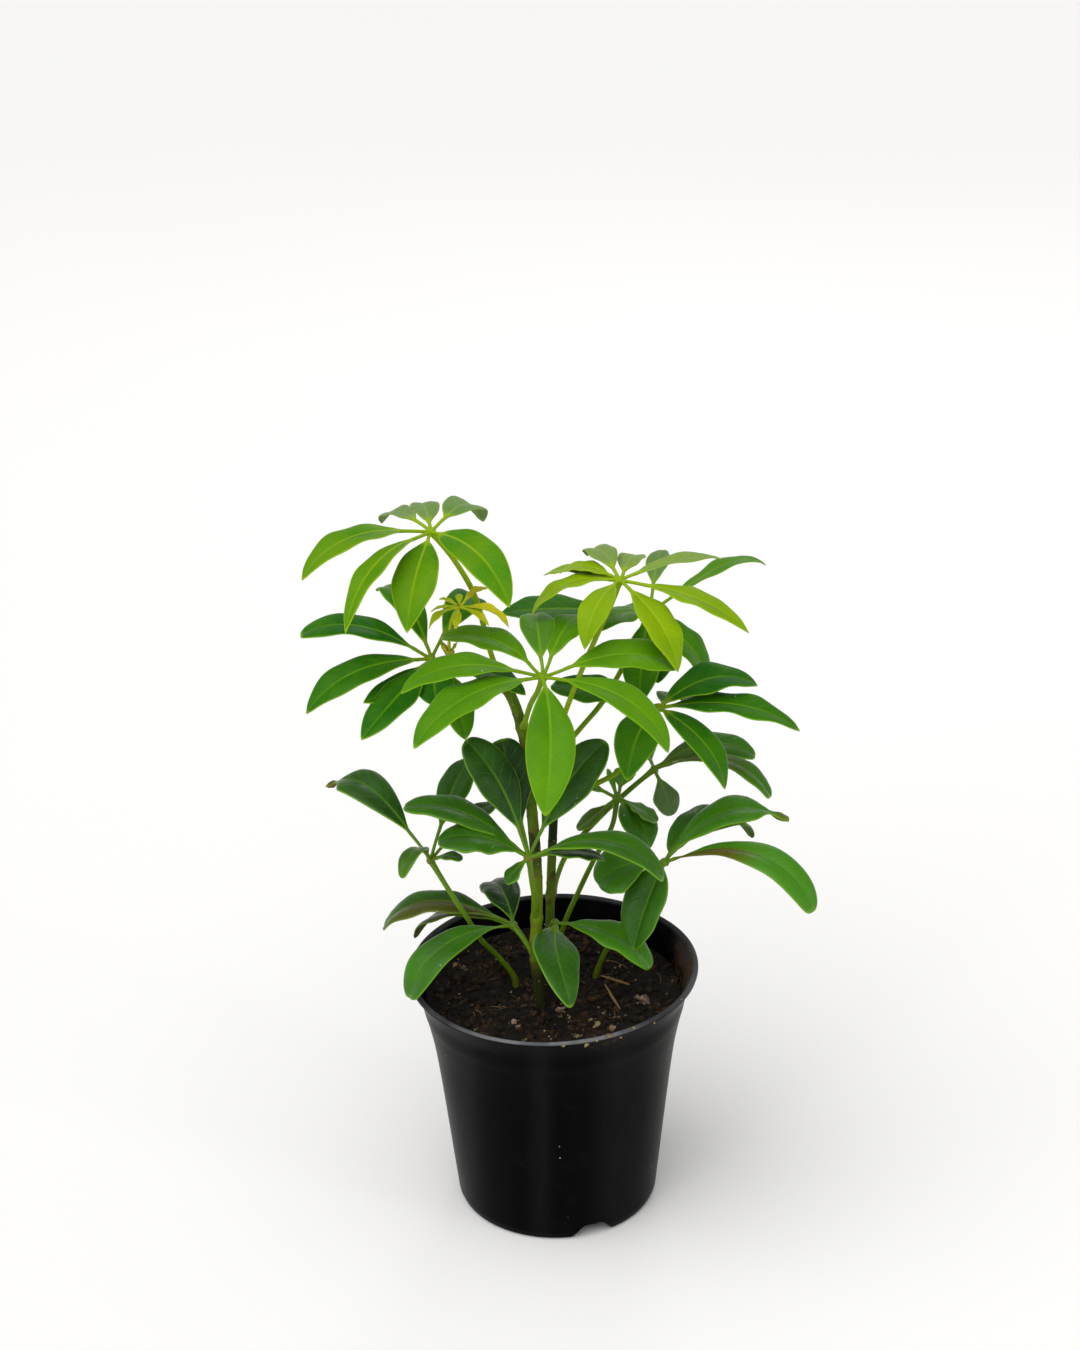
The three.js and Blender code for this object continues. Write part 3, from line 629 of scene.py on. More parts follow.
def soil_bed(material):
    shell = Shell("tone")
    rings = []
    angles = round_angles(SOIL_SIDES)
    bottom = NOTCH_HEIGHT + 0.3
    for height, short in (
        (bottom, 8), (bottom + 1.5, 1), (POT_HEIGHT - 36, 0), (POT_HEIGHT - 25, 0), (90, 0),
    ):
        reach = wall_inside(height) - SOIL_GAP - short
        rings.append([(reach * math.cos(a), reach * math.sin(a), height) for a in angles])
    for reach in SOIL_RADIUS * np.linspace(1, 0.01, SOIL_RINGS):
        rings.append([on_soil(reach * math.cos(a), reach * math.sin(a)) for a in angles])
    shell.loft(np.array(rings), tone=0.3)
    piece = shell.make("soil_bed", material)
    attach(piece, "root")
    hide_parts("soil")


def taken_from(form):
    """A bmesh's points and faces. The bmesh is freed"""
    points = np.array([vertex.co for vertex in form.verts])
    faces = [[vertex.index for vertex in face.verts] for face in form.faces]
    form.free()
    return points, faces


def ball(subdivisions):
    """The points and faces of a unit ball made of triangles"""
    form = bmesh.new()
    bmesh.ops.create_icosphere(form, subdivisions=subdivisions, radius=1)
    return taken_from(form)


def any_turn(chance):
    axis = Vector((chance.gauss(0, 1), chance.gauss(0, 1), chance.gauss(0, 1))).normalized()
    return np.array(Matrix.Rotation(chance.uniform(0, 6.28), 3, axis))


def lying_turn(chance):
    """Any turn about the upright axis, with a slight lean"""
    lean = Matrix.Rotation(chance.uniform(-0.3, 0.3), 3, "X")
    lean = lean @ Matrix.Rotation(chance.uniform(-0.3, 0.3), 3, "Y")
    return np.array(lean @ Matrix.Rotation(chance.uniform(0, 6.28), 3, "Z"))


def crumb(shell, form, place, size, stretch, chance, rough=0.35, **values):
    points, faces = form
    shift = Vector((chance.uniform(0, 50), chance.uniform(0, 50), chance.uniform(0, 50)))
    swell = np.array([1 + rough * 2 * noise.noise(Vector(point) * 1.3 + shift) for point in points])
    body = points * swell[:, None] * np.array(stretch) * size
    shell.add(body @ any_turn(chance).T + np.array(place), faces, **values)


def spot(chance, reach=51.5):
    """A random place over the soil"""
    while True:
        x, y = chance.uniform(-reach, reach), chance.uniform(-reach, reach)
        if math.hypot(x, y) < reach:
            return x, y


def loose(name, shell, material):
    piece = shell.make(name, material)
    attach(piece, "root")
    return piece


def soil_crumbs(material):
    chance = random.Random("crumbs")
    shell = Shell("tone")
    fine = ball(2)
    for _ in range(CRUMBS):
        x, y = spot(chance)
        size = 0.45 + 1.5 * chance.random() ** 3
        stretch = (chance.uniform(0.7, 1.4), chance.uniform(0.7, 1.2), chance.uniform(0.5, 0.9))
        place = on_soil(x, y, size * 0.15)
        crumb(shell, fine, place, size, stretch, chance, tone=chance.random() ** 1.5)
    loose("soil_crumbs", shell, material)


def soil_bark(material):
    """Splinters and flakes of bark"""
    chance = random.Random("bark")
    shell = Shell("tone")
    for _ in range(BARK_FLAKES):
        x, y = spot(chance, 49)
        long = chance.uniform(2, 6.5)
        wide = long * chance.uniform(0.18, 0.5)
        deep = chance.uniform(0.35, 0.9)
        form = bmesh.new()
        for _ in range(16):
            form.verts.new([chance.uniform(-1, 1) * size / 2 for size in (long, wide, deep)])
        bmesh.ops.convex_hull(form, input=form.verts)
        buried = [vertex for vertex in form.verts if not vertex.link_faces]
        bmesh.ops.delete(form, geom=buried, context="VERTS")
        form.verts.index_update()
        points, faces = taken_from(form)
        place = np.array(on_soil(x, y, deep * 0.5))
        shell.add(points @ lying_turn(chance).T + place, faces, tone=chance.random())
    loose("soil_bark", shell, material).data.shade_flat()


def soil_fibres(material):
    chance = random.Random("fibres")
    shell = Shell("tone")
    for _ in range(FIBRES):
        x, y = spot(chance, 46)
        heading = chance.uniform(0, 2 * math.pi)
        bends = chance.uniform(-0.28, 0.28)
        points = []
        for _ in range(int(chance.uniform(5, 13))):
            points.append(on_soil(x, y, 0.35 + 0.5 * chance.random()))
            heading += bends + chance.uniform(-0.15, 0.15)
            x, y = x + 1.2 * math.cos(heading), y + 1.2 * math.sin(heading)
            if math.hypot(x, y) > 51:
                break
        if len(points) < 4:
            continue
        line = smooth_route(points, 0.7)
        thick = chance.uniform(0.09, 0.2) * np.sin(np.linspace(0.25, math.pi - 0.25, len(line)))
        tube(shell, line, thick[:, None], 6, tone=chance.random() * 0.6)
    # Two twigs right of the stems
    for twig in (((19.6, 9.5), (25.8, 6), (31.9, 0.9)), ((21.4, 1.3), (24.4, -9.3), (27, -18.9))):
        line = smooth_route([on_soil(x, y, 0.9 + 0.5 * chance.random()) for x, y in twig], 0.7)
        thick = 0.6 * np.sin(np.linspace(0.5, math.pi - 0.4, len(line)))
        thick += 0.06 * np.sin(np.arange(len(line)) * 1.7)
        tube(shell, line, thick[:, None], 9, tone=0.55)
    loose("soil_fibres", shell, material)


def soil_grit(material):
    """Pale grit and lime, some of it stuck to the lip, and a few pinkish stones"""
    chance = random.Random("grit")
    shell = Shell("tone", "pink")
    fine = ball(2)
    for x, y, size, pink in (
        (37.6, -11.4, 3.1, 1), (2.4, -16.4, 1.8, 0.8), (5.6, -19.7, 1.5, 0.7),
        (-16.6, -27.4, 1.4, 0.8), (-14.6, -29.8, 1.2, 0.6), (14.6, -22.4, 1.3, 0),
        (17.3, -27.9, 1.6, 0), (20.4, -20.2, 1.2, 0.1), (23.3, -32.8, 1.7, 0), (26.8, -25.2, 1.1, 0),
        (-41.6, 21.2, 1.3, 0.3), (-38.2, 18.6, 1.5, 0.3), (9, -38, 1.3, 0.2), (-13, -40, 1.1, 0.2),
    ):
        stretch = (chance.uniform(0.75, 1.3), chance.uniform(0.6, 1.0), chance.uniform(0.5, 0.8))
        place = on_soil(x, y, size * 0.2)
        tone = chance.random()
        crumb(shell, ball(3), place, size * 0.9, stretch, chance, 0.42, tone=tone, pink=pink)
        # Smaller bits lie round each one
        for _ in range(4):
            turn, away = chance.uniform(0, 2 * math.pi), size * chance.uniform(0.9, 2.4)
            bit = size * chance.uniform(0.2, 0.5)
            place = on_soil(x + away * math.cos(turn), y + away * math.sin(turn), bit * 0.3)
            tone = chance.random() * 0.7
            crumb(shell, fine, place, bit, stretch, chance, 0.4, tone=tone, pink=pink * 0.5)
    for _ in range(FINE_GRIT):
        x, y = spot(chance, 50)
        size = chance.uniform(0.25, 0.75)
        place = on_soil(x, y, size * 0.4)
        crumb(shell, fine, place, size, (1, 0.85, 0.7), chance, tone=chance.random())
    for heading, height, size in (
        (273, 105.9, 0.8), (282, 105.2, 0.95), (286, 106.6, 0.7), (291, 107.6, 1.25),
        (296, 105.4, 0.6), (302, 107.9, 0.7), (312, 106.3, 0.55), (330, 108.0, 0.6),
    ):
        reach = RIM_RADIUS - (0.4 if height > 107.3 else 0.3)
        turn = math.radians(heading)
        place = (reach * math.cos(turn), reach * math.sin(turn), height)
        crumb(shell, fine, place, size, (1, 0.8, 0.7), chance, tone=chance.random() * 0.8)
    loose("soil_grit", shell, material)


def round_profile():
    """The pot's section: out along the underside, up the outside, over the lip and back inside"""
    outer = [(FOOT_RADIUS + 0.8, 0, 3.0)]
    outer += [(radius, 0, POT_HEIGHT - depth) for depth, radius in FLARE[::-1]]
    wall = smooth_route(outer, 1.6)[:, [0, 2]]
    wall[:, 0] += RIM_STEP * smooth(POT_HEIGHT - 19.6, POT_HEIGHT - 17, wall[:, 1])
    wall[:, 0] -= RIM_STEP * smooth(POT_HEIGHT - 9, POT_HEIGHT - 3, wall[:, 1])
    foot = [(0, 0.9), (12, 0.9), (30, 0.9), (36.5, 0.8), (38, 0.25), (39.5, 0)]
    turn = np.linspace(-math.pi / 2, 0, 7)[1:]
    foot += [(39.7 + 2.0 * math.cos(a), 2.0 + 2.0 * math.sin(a)) for a in turn]
    lip = [(59.1, 105.75), (59.6, 105.9), (59.92, 106.2), (60, 106.6), (60, 107.2), (59.85, 107.62),
           (59.5, 107.9), (59.05, 108.0), (58.6, 107.92), (58.1, 107.6), (57.6, 107.1)]
    inner = [(57.0, 0, 105.9)]
    inner += [(radius - WALL, 0, POT_HEIGHT - depth) for depth, radius in FLARE[1:]]
    inner.append((FOOT_RADIUS + 0.3, 0, 5))
    inside = smooth_route(inner, 2.2)[:, [0, 2]]
    floor = [(FOOT_RADIUS - 0.3, 3.2), (FOOT_RADIUS - 1.2, FLOOR)]
    floor += [(radius, FLOOR) for radius in (30, 14, 0)]
    return [tuple(point) for part in (foot, wall, lip, inside, floor) for point in part]


def pot_shell(material):
    angles = round_angles(POT_SIDES)
    points, faces, rows = [], [], []
    for radius, height in round_profile():
        if radius == 0:
            rows.append([len(points)])
            points.append((0, 0, height))
            continue
        rise = max(0, height / POT_HEIGHT) ** 3
        oval = 1 + rise * (0.0035 * np.sin(2 * angles + 0.7) + 0.002 * np.sin(3 * angles + 2.1))
        sag = rise * (0.16 * np.sin(2 * angles + 2.4) + 0.1 * np.sin(5 * angles + 1.0))
        sag += rise * (0.1 + LIP_LEAN_Y * np.sin(angles) + LIP_LEAN_X * np.cos(angles))
        rows.append(range(len(points), len(points) + POT_SIDES))
        reach = radius * oval
        points += list(zip(reach * np.cos(angles), reach * np.sin(angles), height + sag))
    for lower, upper in zip(rows, rows[1:]):
        for side in range(POT_SIDES):
            after = (side + 1) % POT_SIDES
            if len(lower) == 1:
                faces.append((lower[0], upper[after], upper[side]))
            elif len(upper) == 1:
                faces.append((lower[side], lower[after], upper[0]))
            else:
                faces.append((lower[side], lower[after], upper[after], upper[side]))
    mesh = bpy.data.meshes.new("pot_shell")
    mesh.from_pydata((np.array(points, float) * MM).tolist(), [], faces)
    pot = bpy.data.objects.new("pot_shell", mesh)
    bpy.context.scene.collection.objects.link(pot)

    # Drain notches: a low arch that runs out into the foot on both sides
    half = NOTCH_WIDTH / 2
    outline = [(-half, -4)]
    for x in np.linspace(-half, -3, 14):
        climb = 0.5 - 0.5 * math.cos(math.pi * (x + half) / (half - 3))
        outline.append((x, NOTCH_HEIGHT * climb - 0.05))
    outline += [(-x, z) for x, z in outline[::-1]]
    cutters = []
    for heading in NOTCH_HEADINGS:
        ahead = Matrix.Rotation(math.radians(heading), 3, "Z")
        ring = []
        for reach in (FOOT_RADIUS - NOTCH_REACH, FOOT_RADIUS + NOTCH_REACH):
            ring.append([tuple(ahead @ Vector((reach, x, z))) for x, z in outline])
        shell = Shell()
        shell.loft(np.array(ring)[:, ::-1])
        cutter = shell.make("cutter", material)
        cutters.append(cutter)
        cut = pot.modifiers.new("notch", "BOOLEAN")
        cut.operation = "DIFFERENCE"
        cut.solver = "EXACT"
        cut.object = cutter
    cut_pot = pot.evaluated_get(bpy.context.evaluated_depsgraph_get())
    whole = bpy.data.meshes.new_from_object(cut_pot)
    pot.modifiers.clear()
    pot.data = whole
    whole.name = "pot_shell_mesh"
    bpy.data.meshes.remove(mesh)
    for cutter in cutters:
        bpy.data.objects.remove(cutter)
    whole.materials.clear()
    whole.materials.append(material)
    whole.shade_smooth()
    whole.set_sharp_from_angle(angle=math.radians(38))
    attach(pot, "root")
    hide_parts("pot")


def bud_scales(material):
    """Small bracts round the growing tip of the main stem"""
    chance = random.Random("scales")
    shell = Shell("across", "edge", "along", "share", "tone", "under", "blade")
    frond = dict(age="bronze", form="young", fold=16, tone=0.5, stalk=0.3)
    for place, row in (
        ((-39.2, 12.6, 243.5), (205, 0.5, 7, 3.0, 70, 30, 0, 0)),
        ((-38.6, 13.6, 243.5), (20, 0.5, 6, 2.6, 70, 30, 0, 0)),
        ((-40.0, 13.4, 243.2), (130, 0.5, 7, 2.6, 68, 30, 0, 0)),
        ((-38.6, 11.6, 243.4), (300, 0.5, 5, 2.4, 66, 30, 0, 0)),
    ):
        leaflet(shell, np.array(place), row, frond, chance)
    piece = shell.make("bud_scales", material)
    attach(piece, "root")


# ---------------------------------------------------------------- materials

def srgb(red, green, blue):
    """A linear colour from the three numbers that a picture shows"""
    parts = [value / 255 for value in (red, green, blue)]
    return tuple(v / 12.92 if v <= 0.04045 else ((v + 0.055) / 1.055) ** 2.4 for v in parts) + (1,)


class Signal:
    """A number that runs through a material's nodes, written with the usual signs"""

    def __init__(self, look, socket):
        self.look = look
        self.socket = socket

    def __add__(self, other):
        return self.look.math("ADD", self, other)

    def __sub__(self, other):
        return self.look.math("SUBTRACT", self, other)

    def __mul__(self, other):
        return self.look.math("MULTIPLY", self, other)

    def __abs__(self):
        return self.look.math("ABSOLUTE", self)


class Look:
    """A material's nodes, with short calls for the ones that are used here"""

    def __init__(self, name):
        self.material = bpy.data.materials.new(name)
        self.material.use_nodes = True
        self.tree = self.material.node_tree
        self.shader = next(node for node in self.tree.nodes if node.type == "BSDF_PRINCIPLED")
        self.place = self.node("TexCoord").outputs["Object"]

    def node(self, kind, **inputs):
        """A new node, with the inputs that are given by name"""
        made = self.tree.nodes.new("ShaderNode" + kind)
        for name, value in inputs.items():
            self.put(made.inputs[name], value)
        return made

    def put(self, socket, value):
        if isinstance(value, Signal):
            value = value.socket
        if isinstance(value, bpy.types.NodeSocket):
            self.tree.links.new(value, socket)
        else:
            socket.default_value = value

    def math(self, operation, *values, clamp=False):
        node = self.node("Math")
        node.operation = operation
        node.use_clamp = clamp
        for socket, value in zip(node.inputs, values):
            self.put(socket, value)
        return Signal(self, node.outputs[0])

    def ramp(self, value, low, high, start=0.0, end=1.0):
        """start below low, end above high, with a smooth rise between them"""
        node = self.node("MapRange")
        node.interpolation_type = "SMOOTHSTEP"
        for socket, given in zip(node.inputs[:5], (value, low, high, start, end)):
            self.put(socket, given)
        return Signal(self, node.outputs["Result"])

    def mix(self, factor, first, second):
        node = self.node("Mix")
        node.data_type = "RGBA"
        self.put(node.inputs["Factor"], factor)
        colours = [socket for socket in node.inputs if socket.type == "RGBA"]
        self.put(colours[0], first)
        self.put(colours[1], second)
        return next(socket for socket in node.outputs if socket.type == "RGBA")

    def noise(self, scale, detail=3.0, roughness=0.55, vector=None):
        vector = vector or self.place
        node = self.node("TexNoise", Vector=vector, Scale=scale, Detail=detail, Roughness=roughness)
        return Signal(self, node.outputs["Fac"])

    def cells(self, scale, feature="F1", vector=None):
        node = self.node("TexVoronoi", Vector=vector or self.place, Scale=scale)
        node.feature = feature
        return Signal(self, node.outputs["Distance"])

    def stretched(self, x, y, z):
        return self.node("Mapping", Vector=self.place, Scale=(x, y, z)).outputs["Vector"]

    def near(self, centre, reach):
        """1 at a place on the object, and 0 further than reach from it, in metres"""
        node = self.node("VectorMath")
        node.operation = "DISTANCE"
        self.put(node.inputs[0], self.place)
        self.put(node.inputs[1], centre)
        return self.ramp(node.outputs["Value"], reach, reach * 0.35)

    def value(self, name):
        node = self.node("Attribute")
        node.attribute_name = name
        return Signal(self, node.outputs["Fac"])

    def axis(self, name):
        return Signal(self, self.node("SeparateXYZ", Vector=self.place).outputs[name])

    def outward(self):
        """How far out a point lies, in metres, times how much its face points away from the axis"""
        node = self.node("VectorMath")
        node.operation = "DOT_PRODUCT"
        self.put(node.inputs[0], self.stretched(1, 1, 0))
        self.put(node.inputs[1], self.place.node.outputs["Normal"])
        return Signal(self, node.outputs["Value"])

    def level_with_lip(self):
        """Height above the foot, less the lean of the pot's lip"""
        to_right = self.axis("X") * (LIP_LEAN_X / RIM_RADIUS)
        to_back = self.axis("Y") * (LIP_LEAN_Y / RIM_RADIUS)
        return self.axis("Z") - (to_right + to_back)

    def bump(self, height, distance):
        node = self.node("Bump", Distance=distance, Strength=1.0, Height=height)
        self.put(self.shader.inputs["Normal"], node.outputs["Normal"])

    def finish(self, colour, roughness, specular):
        self.put(self.shader.inputs["Base Color"], colour)
        self.put(self.shader.inputs["Roughness"], roughness)
        self.shader.inputs["Specular IOR Level"].default_value = specular
        return self.material


def leaf_look(name, deep, light, rib, margin, under, stalk, gloss, specular):
    look = Look(name)
    across = abs(look.value("across"))
    edge = look.value("edge")
    share = look.value("share")
    grain = look.noise(420, 3)
    tone = look.noise(55, 2) * 0.9 - 0.45
    tone = look.math("ADD", look.value("tone"), tone, clamp=True)
    colour = look.mix(tone, deep, light)

    # Side veins run out from the midrib and bend towards the tip
    along = look.value("along") - across * (across * 0.03 + 0.75)
    halves = look.math("SIGN", look.value("across")) * 0.25
    path = along * (1 / VEIN_SPACING) + look.noise(120, 1) * 0.5 + halves
    gap = abs(look.math("FRACT", path) - 0.5)
    vein = look.ramp(gap, 0.40, 0.5) * look.ramp(edge, 0.6, 2.2)
    net = look.ramp(look.cells(900, "DISTANCE_TO_EDGE"), 0.12, 0.0)
    colour = look.mix(vein * 0.13, colour, light)
    colour = look.mix(net * 0.05, colour, light)

    # A yellower foot and tip, the pale midrib and the thin bright margin
    colour = look.mix(look.ramp(share, 0.12, 0.0) * 0.45, colour, rib)
    line = look.ramp(across, 0.75, 0.2) * look.ramp(share, 1.0, 0.2, 0.15, 0.7)
    colour = look.mix(line, colour, rib)
    colour = look.mix(look.ramp(edge, 0.7, 0.15) * 0.85, colour, margin)
    colour = look.mix(look.ramp(share, 0.955, 0.995) * 0.6, colour, margin)

    # The underside is paler and duller
    below = look.mix(vein * 0.3, under, rib)
    below = look.mix(look.ramp(across, 0.95, 0.4) * 0.7, below, stalk)
    colour = look.mix(look.value("under"), colour, below)
    # pale mixes in a painted grey sheen, as seen on leaflets at the back
    colour = look.mix(look.value("pale"), colour, srgb(122, 142, 92))
    colour = look.mix(look.value("brown"), colour, srgb(96, 62, 14))

    # A few specks of dust, then the stalk, its knot and its foot
    speck = look.ramp(look.cells(190), 0.09, 0.05) * look.ramp(look.noise(60, 1), 0.58, 0.66)
    colour = look.mix(speck * 0.55, colour, srgb(205, 210, 185))
    green = look.mix(grain * 0.5, stalk, light)
    knot = look.value("knot") * look.ramp(look.noise(500, 2), 0.35, 0.6)
    green = look.mix(knot, green, srgb(128, 84, 48))
    foot = look.value("foot") * look.ramp(look.noise(260, 3), 0.3, 0.62, 0.35, 1)
    green = look.mix(foot, green, srgb(92, 78, 30))
    colour = look.mix(look.value("blade"), green, colour)

    shine = grain * 0.16 + (gloss - 0.08) + look.value("under") * 0.24
    look.bump(vein * -0.8 + net * -0.25 + look.noise(900, 2) * 0.45, 0.00011)
    return look.finish(colour, shine, specular)


def stem_look():
    look = Look("stem_bark")
    height = look.axis("Z")
    streak = look.noise(700, 3, vector=look.stretched(1, 1, 0.14))
    patch = look.noise(95, 4)

    # Darker green above, partly the bark's own colour and partly painted shade, lighter green lower
    # down, brown near the soil and in patches
    green = look.mix(streak, srgb(60, 90, 6), srgb(100, 128, 14))
    low_green = look.mix(streak, srgb(76, 104, 4), srgb(114, 140, 14))
    brown = look.mix(streak, srgb(24, 28, 8), srgb(50, 50, 18))
    colour = look.mix(look.ramp(height, 0.150, 0.175), low_green, green)
    colour = look.mix(look.ramp(height, 0.128, 0.11) * 0.97, colour, brown)
    # Painted shade: the stem goes darker by its shade value
    colour = look.mix(look.value("shade"), colour, srgb(22, 40, 8))
    bark = look.ramp(patch, 0.53, 0.62) * look.ramp(height, 0.24, 0.17, 0.35, 0.75)
    colour = look.mix(bark, colour, brown)

    # Scars of leaf stalks, a wound below the upper bend, and pale pores
    colour = look.mix(look.value("scar") * 0.85, colour, srgb(104, 76, 42))
    wound = look.near((-0.007, -0.004, 0.209), 0.007) * look.ramp(look.noise(330, 2), 0.42, 0.55)
    colour = look.mix(wound, colour, srgb(98, 60, 36))
    pore = look.ramp(look.cells(520, vector=look.stretched(1, 1, 0.55)), 0.2, 0.1)
    pore = pore * look.ramp(look.noise(240, 1), 0.5, 0.6)
    colour = look.mix(pore * 0.6, colour, srgb(168, 160, 108))
    look.bump(streak * 0.8 + pore * 0.7, 0.00018)
    return look.finish(colour, look.ramp(patch, 0.3, 0.7, 0.5, 0.7), 0.12)


def scale_look():
    look = Look("bud_scale")
    streak = look.noise(900, 3, vector=look.stretched(1, 1, 0.2))
    colour = look.mix(streak, srgb(166, 170, 34), srgb(206, 200, 60))
    colour = look.mix(look.ramp(look.value("share"), 0.5, 0.0), colour, srgb(170, 180, 44))
    look.bump(streak, 0.0001)
    return look.finish(colour, look.ramp(streak, 0.3, 0.7, 0.6, 0.75), 0.1)


def pot_look():
    look = Look("pot_plastic")
    wide = look.noise(38, 4)
    brushed = look.noise(500, 3, vector=look.stretched(1, 1, 0.04))
    colour = look.mix(wide, srgb(1, 1, 1), srgb(3, 3, 3))

    # Soft upright bands of painted highlight, then dust and a few pale specks
    sideways = look.axis("X") + look.noise(9, 2) * 0.006
    sheen = look.ramp(look.outward(), 0.01, 0.03) * look.ramp(brushed, 0.2, 0.8, 0.5, 0.9)
    for middle, width in ((0.027, 0.014), (-0.004, 0.008), (-0.034, 0.008)):
        painted_highlight_band = look.ramp(abs(sideways - middle), width, 0.0) * sheen
        colour = look.mix(painted_highlight_band * 0.5, colour, srgb(28, 28, 29))
    dust = look.ramp(look.noise(75, 5, 0.65), 0.55, 0.75)
    colour = look.mix(dust * 0.022, colour, srgb(104, 99, 92))
    speck = look.ramp(look.cells(170), 0.075, 0.04) * look.ramp(look.noise(33, 1), 0.56, 0.62)
    colour = look.mix(speck * 0.7, colour, srgb(196, 192, 184))

    # A painted highlight runs grey along the lip, most of all at the front, and over the flare at
    # the right
    height = look.level_with_lip()
    highlight_breakup = look.ramp(look.noise(130, 4), 0.3, 0.6, 0.6, 1)
    bright = look.ramp(look.near((-0.004, -0.06, 0.107), 0.05), 0, 1, 0.3, 1)
    lip_highlight = look.ramp(height, 0.1066, 0.1076) * highlight_breakup * bright
    colour = look.mix(lip_highlight, colour, srgb(112, 113, 116))
    # A wider band of painted highlight on the flare at the right
    flare = look.near((0.059, -0.006, 0.104), 0.036) * look.ramp(height, 0.097, 0.105)
    colour = look.mix(flare * 0.6, colour, srgb(92, 93, 96))

    # Soil that dried on the lip and on the wall inside
    inside = look.near((0.055, 0.002, 0.103), 0.034) * look.ramp(look.outward(), -0.02, -0.04)
    front = look.near((0.020, -0.057, 0.1062), 0.017) * 0.75
    side = look.near((0.047, -0.036, 0.1045), 0.014) * 0.5
    smear = look.math("MAXIMUM", inside, look.math("MAXIMUM", front, side))
    crust = look.ramp(smear * look.noise(170, 5, 0.75), 0.33, 0.6)
    earth = look.mix(look.noise(600, 3), srgb(38, 27, 15), srgb(112, 84, 54))
    colour = look.mix(crust * 0.75, colour, earth)

    shine = wide * 0.1 + 0.24 + brushed * 0.08 + crust * 0.5
    look.bump(look.noise(1500, 2) * 0.12 + brushed * 0.1 + crust * 1.6, 0.00022)
    return look.finish(colour, shine, 0.03)


def soil_look(name, dark, brown, warm):
    look = Look(name)
    grain = look.noise(650, 5, 0.7)
    light = look.math("ADD", grain * 0.9, look.value("tone") * 0.5 - 0.35, clamp=True)
    colour = look.mix(light, dark, brown)
    colour = look.mix(look.ramp(look.noise(120, 4), 0.52, 0.7) * 0.6, colour, warm)
    look.bump(look.noise(1100, 4, 0.7), 0.0006)
    return look.finish(colour, look.ramp(grain, 0.2, 0.8, 0.8, 0.98), 0.25)


def fibre_look():
    look = Look("soil_fibre")
    grain = look.noise(800, 3)
    light = look.value("tone") * 0.8 + grain * 0.3
    colour = look.mix(light, srgb(74, 48, 26), srgb(168, 132, 84))
    look.bump(grain, 0.0002)
    return look.finish(colour, look.ramp(grain, 0.3, 0.7, 0.7, 0.85), 0.3)


def grit_look():
    look = Look("soil_grit")
    grain = look.noise(900, 4, 0.65)
    light = look.value("tone") * 0.6 + grain * 0.4
    pale = look.mix(light, srgb(104, 84, 52), srgb(178, 160, 120))
    pink = look.mix(grain, srgb(120, 92, 76), srgb(184, 158, 142))
    colour = look.mix(look.value("pink"), pale, pink)
    dirt = look.ramp(look.noise(400, 4), 0.42, 0.6) * 0.75
    colour = look.mix(dirt, colour, srgb(56, 40, 25))
    look.bump(grain, 0.0004)
    return look.finish(colour, look.ramp(grain, 0.3, 0.7, 0.75, 0.92), 0.3)


def stage_look():
    look = Look("stage_floor")
    colour = look.mix(look.noise(2.2, 2), srgb(246, 245, 243), srgb(248, 247, 246))
    return look.finish(colour, 0.95, 0.05)


LEAF_LOOKS = {
    "young": dict(
        deep=srgb(70, 130, 5), light=srgb(139, 170, 8), rib=srgb(150, 182, 30),
        margin=srgb(150, 182, 20), under=srgb(112, 138, 60), stalk=srgb(140, 172, 20),
        gloss=0.36, specular=0.07,
    ),
    "middle": dict(
        deep=srgb(31, 98, 8), light=srgb(94, 148, 8), rib=srgb(118, 166, 24),
        margin=srgb(124, 170, 18), under=srgb(84, 112, 50), stalk=srgb(126, 156, 20),
        gloss=0.34, specular=0.08,
    ),
    "old": dict(
        deep=srgb(24, 55, 12), light=srgb(66, 127, 14), rib=srgb(92, 142, 28),
        margin=srgb(112, 162, 20), under=srgb(68, 94, 40), stalk=srgb(100, 132, 14),
        gloss=0.3, specular=0.2,
    ),
    "bronze": dict(
        deep=srgb(150, 184, 16), light=srgb(216, 208, 24), rib=srgb(190, 204, 44),
        margin=srgb(192, 196, 30), under=srgb(170, 180, 50), stalk=srgb(170, 196, 40),
        gloss=0.4, specular=0.07,
    ),
}


# ---------------------------------------------------------------- the part

leaf_materials = {age: leaf_look("leaf_" + age, **colours) for age, colours in LEAF_LOOKS.items()}
bark_material = stem_look()
pot_shell(pot_look())
soil_bed(soil_look("soil_earth", srgb(9, 7, 5), srgb(38, 29, 18), srgb(54, 36, 22)))
soil_crumbs(soil_look("soil_crumb", srgb(12, 9, 6), srgb(64, 49, 31), srgb(84, 58, 36)))
soil_bark(soil_look("soil_bark", srgb(26, 18, 12), srgb(96, 68, 43), srgb(66, 43, 27)))
soil_fibres(fibre_look())
soil_grit(grit_look())
for stem in STEMS:
    seats = [frond["petiole"][0] for frond in FRONDS if frond["seat"] == stem["node"]]
    stem_piece(stem, seats, bark_material)
bud_scales(scale_look())
for frond in FRONDS:
    frond_piece(frond, leaf_materials[frond["age"]])


# ---------------------------------------------------------------- the studio

STUDIO_REACH = 14000
LIGHTS_AIM = (0, 0, 0.16)
CAMERA_PLACE = (-0.003, -0.9929, 0.6882)
LOOKS_DOWN = 24.28
LOOKS_ROUND = 1.2

floor_shell = Shell()
corners = [(x * STUDIO_REACH, y * STUDIO_REACH, 0) for x, y in ((-1, -1), (1, -1), (1, 1), (-1, 1))]
floor_shell.add(corners, [(0, 1, 2, 3)])
floor_shell.make("studio_floor", stage_look())


def towards(direction):
    return Vector(direction).to_track_quat("-Z", "Y").to_euler()


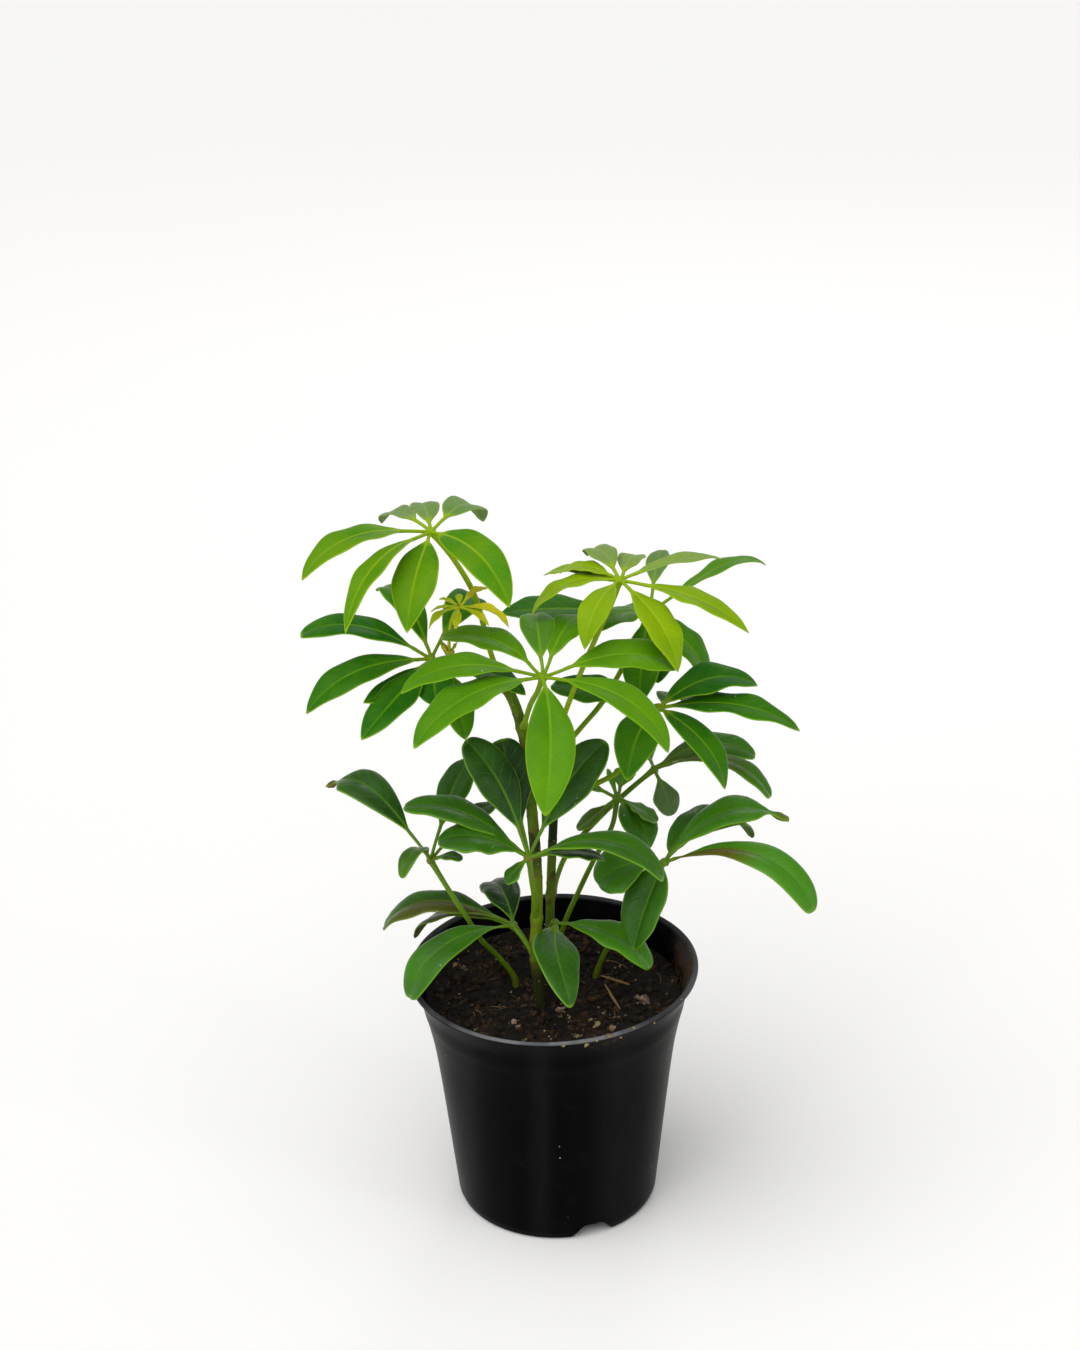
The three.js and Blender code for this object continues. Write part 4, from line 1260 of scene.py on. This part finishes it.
def area_light(name, place, width, height, power):
    lamp = bpy.data.lights.new(name, "AREA")
    lamp.shape = "RECTANGLE"
    lamp.size = width
    lamp.size_y = height
    lamp.energy = power
    light = bpy.data.objects.new(name, lamp)
    light.visible_camera = False
    light.location = place
    light.rotation_euler = towards(Vector(LIGHTS_AIM) - Vector(place))
    bpy.context.scene.collection.objects.link(light)


area_light("fill_right", (1.1, -0.7, 0.6), 0.16, 0.7, 1.45)
area_light("fill_left", (-0.8, -1.1, 0.6), 0.16, 0.7, 1.3)
area_light("sheen", (0.25, 1.25, 1.0), 0.4, 0.14, 1.6)
lamp = bpy.data.lights.new("sun", "SUN")
lamp.energy = 2.2
lamp.angle = math.radians(75)
sun = bpy.data.objects.new("sun", lamp)
sun.rotation_euler = towards((0.42, 0.62, -1.5))
bpy.context.scene.collection.objects.link(sun)

# The air is brightest level with the floor, so no horizon shows
world = bpy.data.worlds.new("studio_air")
bpy.context.scene.world = world
world.use_nodes = True
sky = world.node_tree
split = sky.nodes.new("ShaderNodeSeparateXYZ")
sky.links.new(sky.nodes.new("ShaderNodeTexCoord").outputs["Generated"], split.inputs[0])
climb = sky.nodes.new("ShaderNodeMapRange")
climb.interpolation_type = "SMOOTHSTEP"
for name, value in (("From Min", 0), ("From Max", 0.36), ("To Min", 0.92), ("To Max", 0.36)):
    climb.inputs[name].default_value = value
sky.links.new(split.outputs["Z"], climb.inputs["Value"])
air = next(node for node in sky.nodes if node.type == "BACKGROUND")
air.inputs["Color"].default_value = (1, 0.997, 0.992, 1)
sky.links.new(climb.outputs["Result"], air.inputs["Strength"])

# The camera looks down on the pot, with the photograph's slight turn
lens = bpy.data.cameras.new("camera")
lens.sensor_width = 36
lens.lens = 73.35
lens.clip_end = 60
camera = bpy.data.objects.new("camera", lens)
camera.matrix_world = (
    Matrix.Translation(CAMERA_PLACE)
    @ Matrix.Rotation(math.radians(90 - LOOKS_DOWN), 4, "X")
    @ Matrix.Rotation(math.radians(-LOOKS_ROUND), 4, "Z")
)
bpy.context.scene.collection.objects.link(camera)
bpy.context.scene.camera = camera
bpy.context.scene.view_settings.view_transform = "Standard"
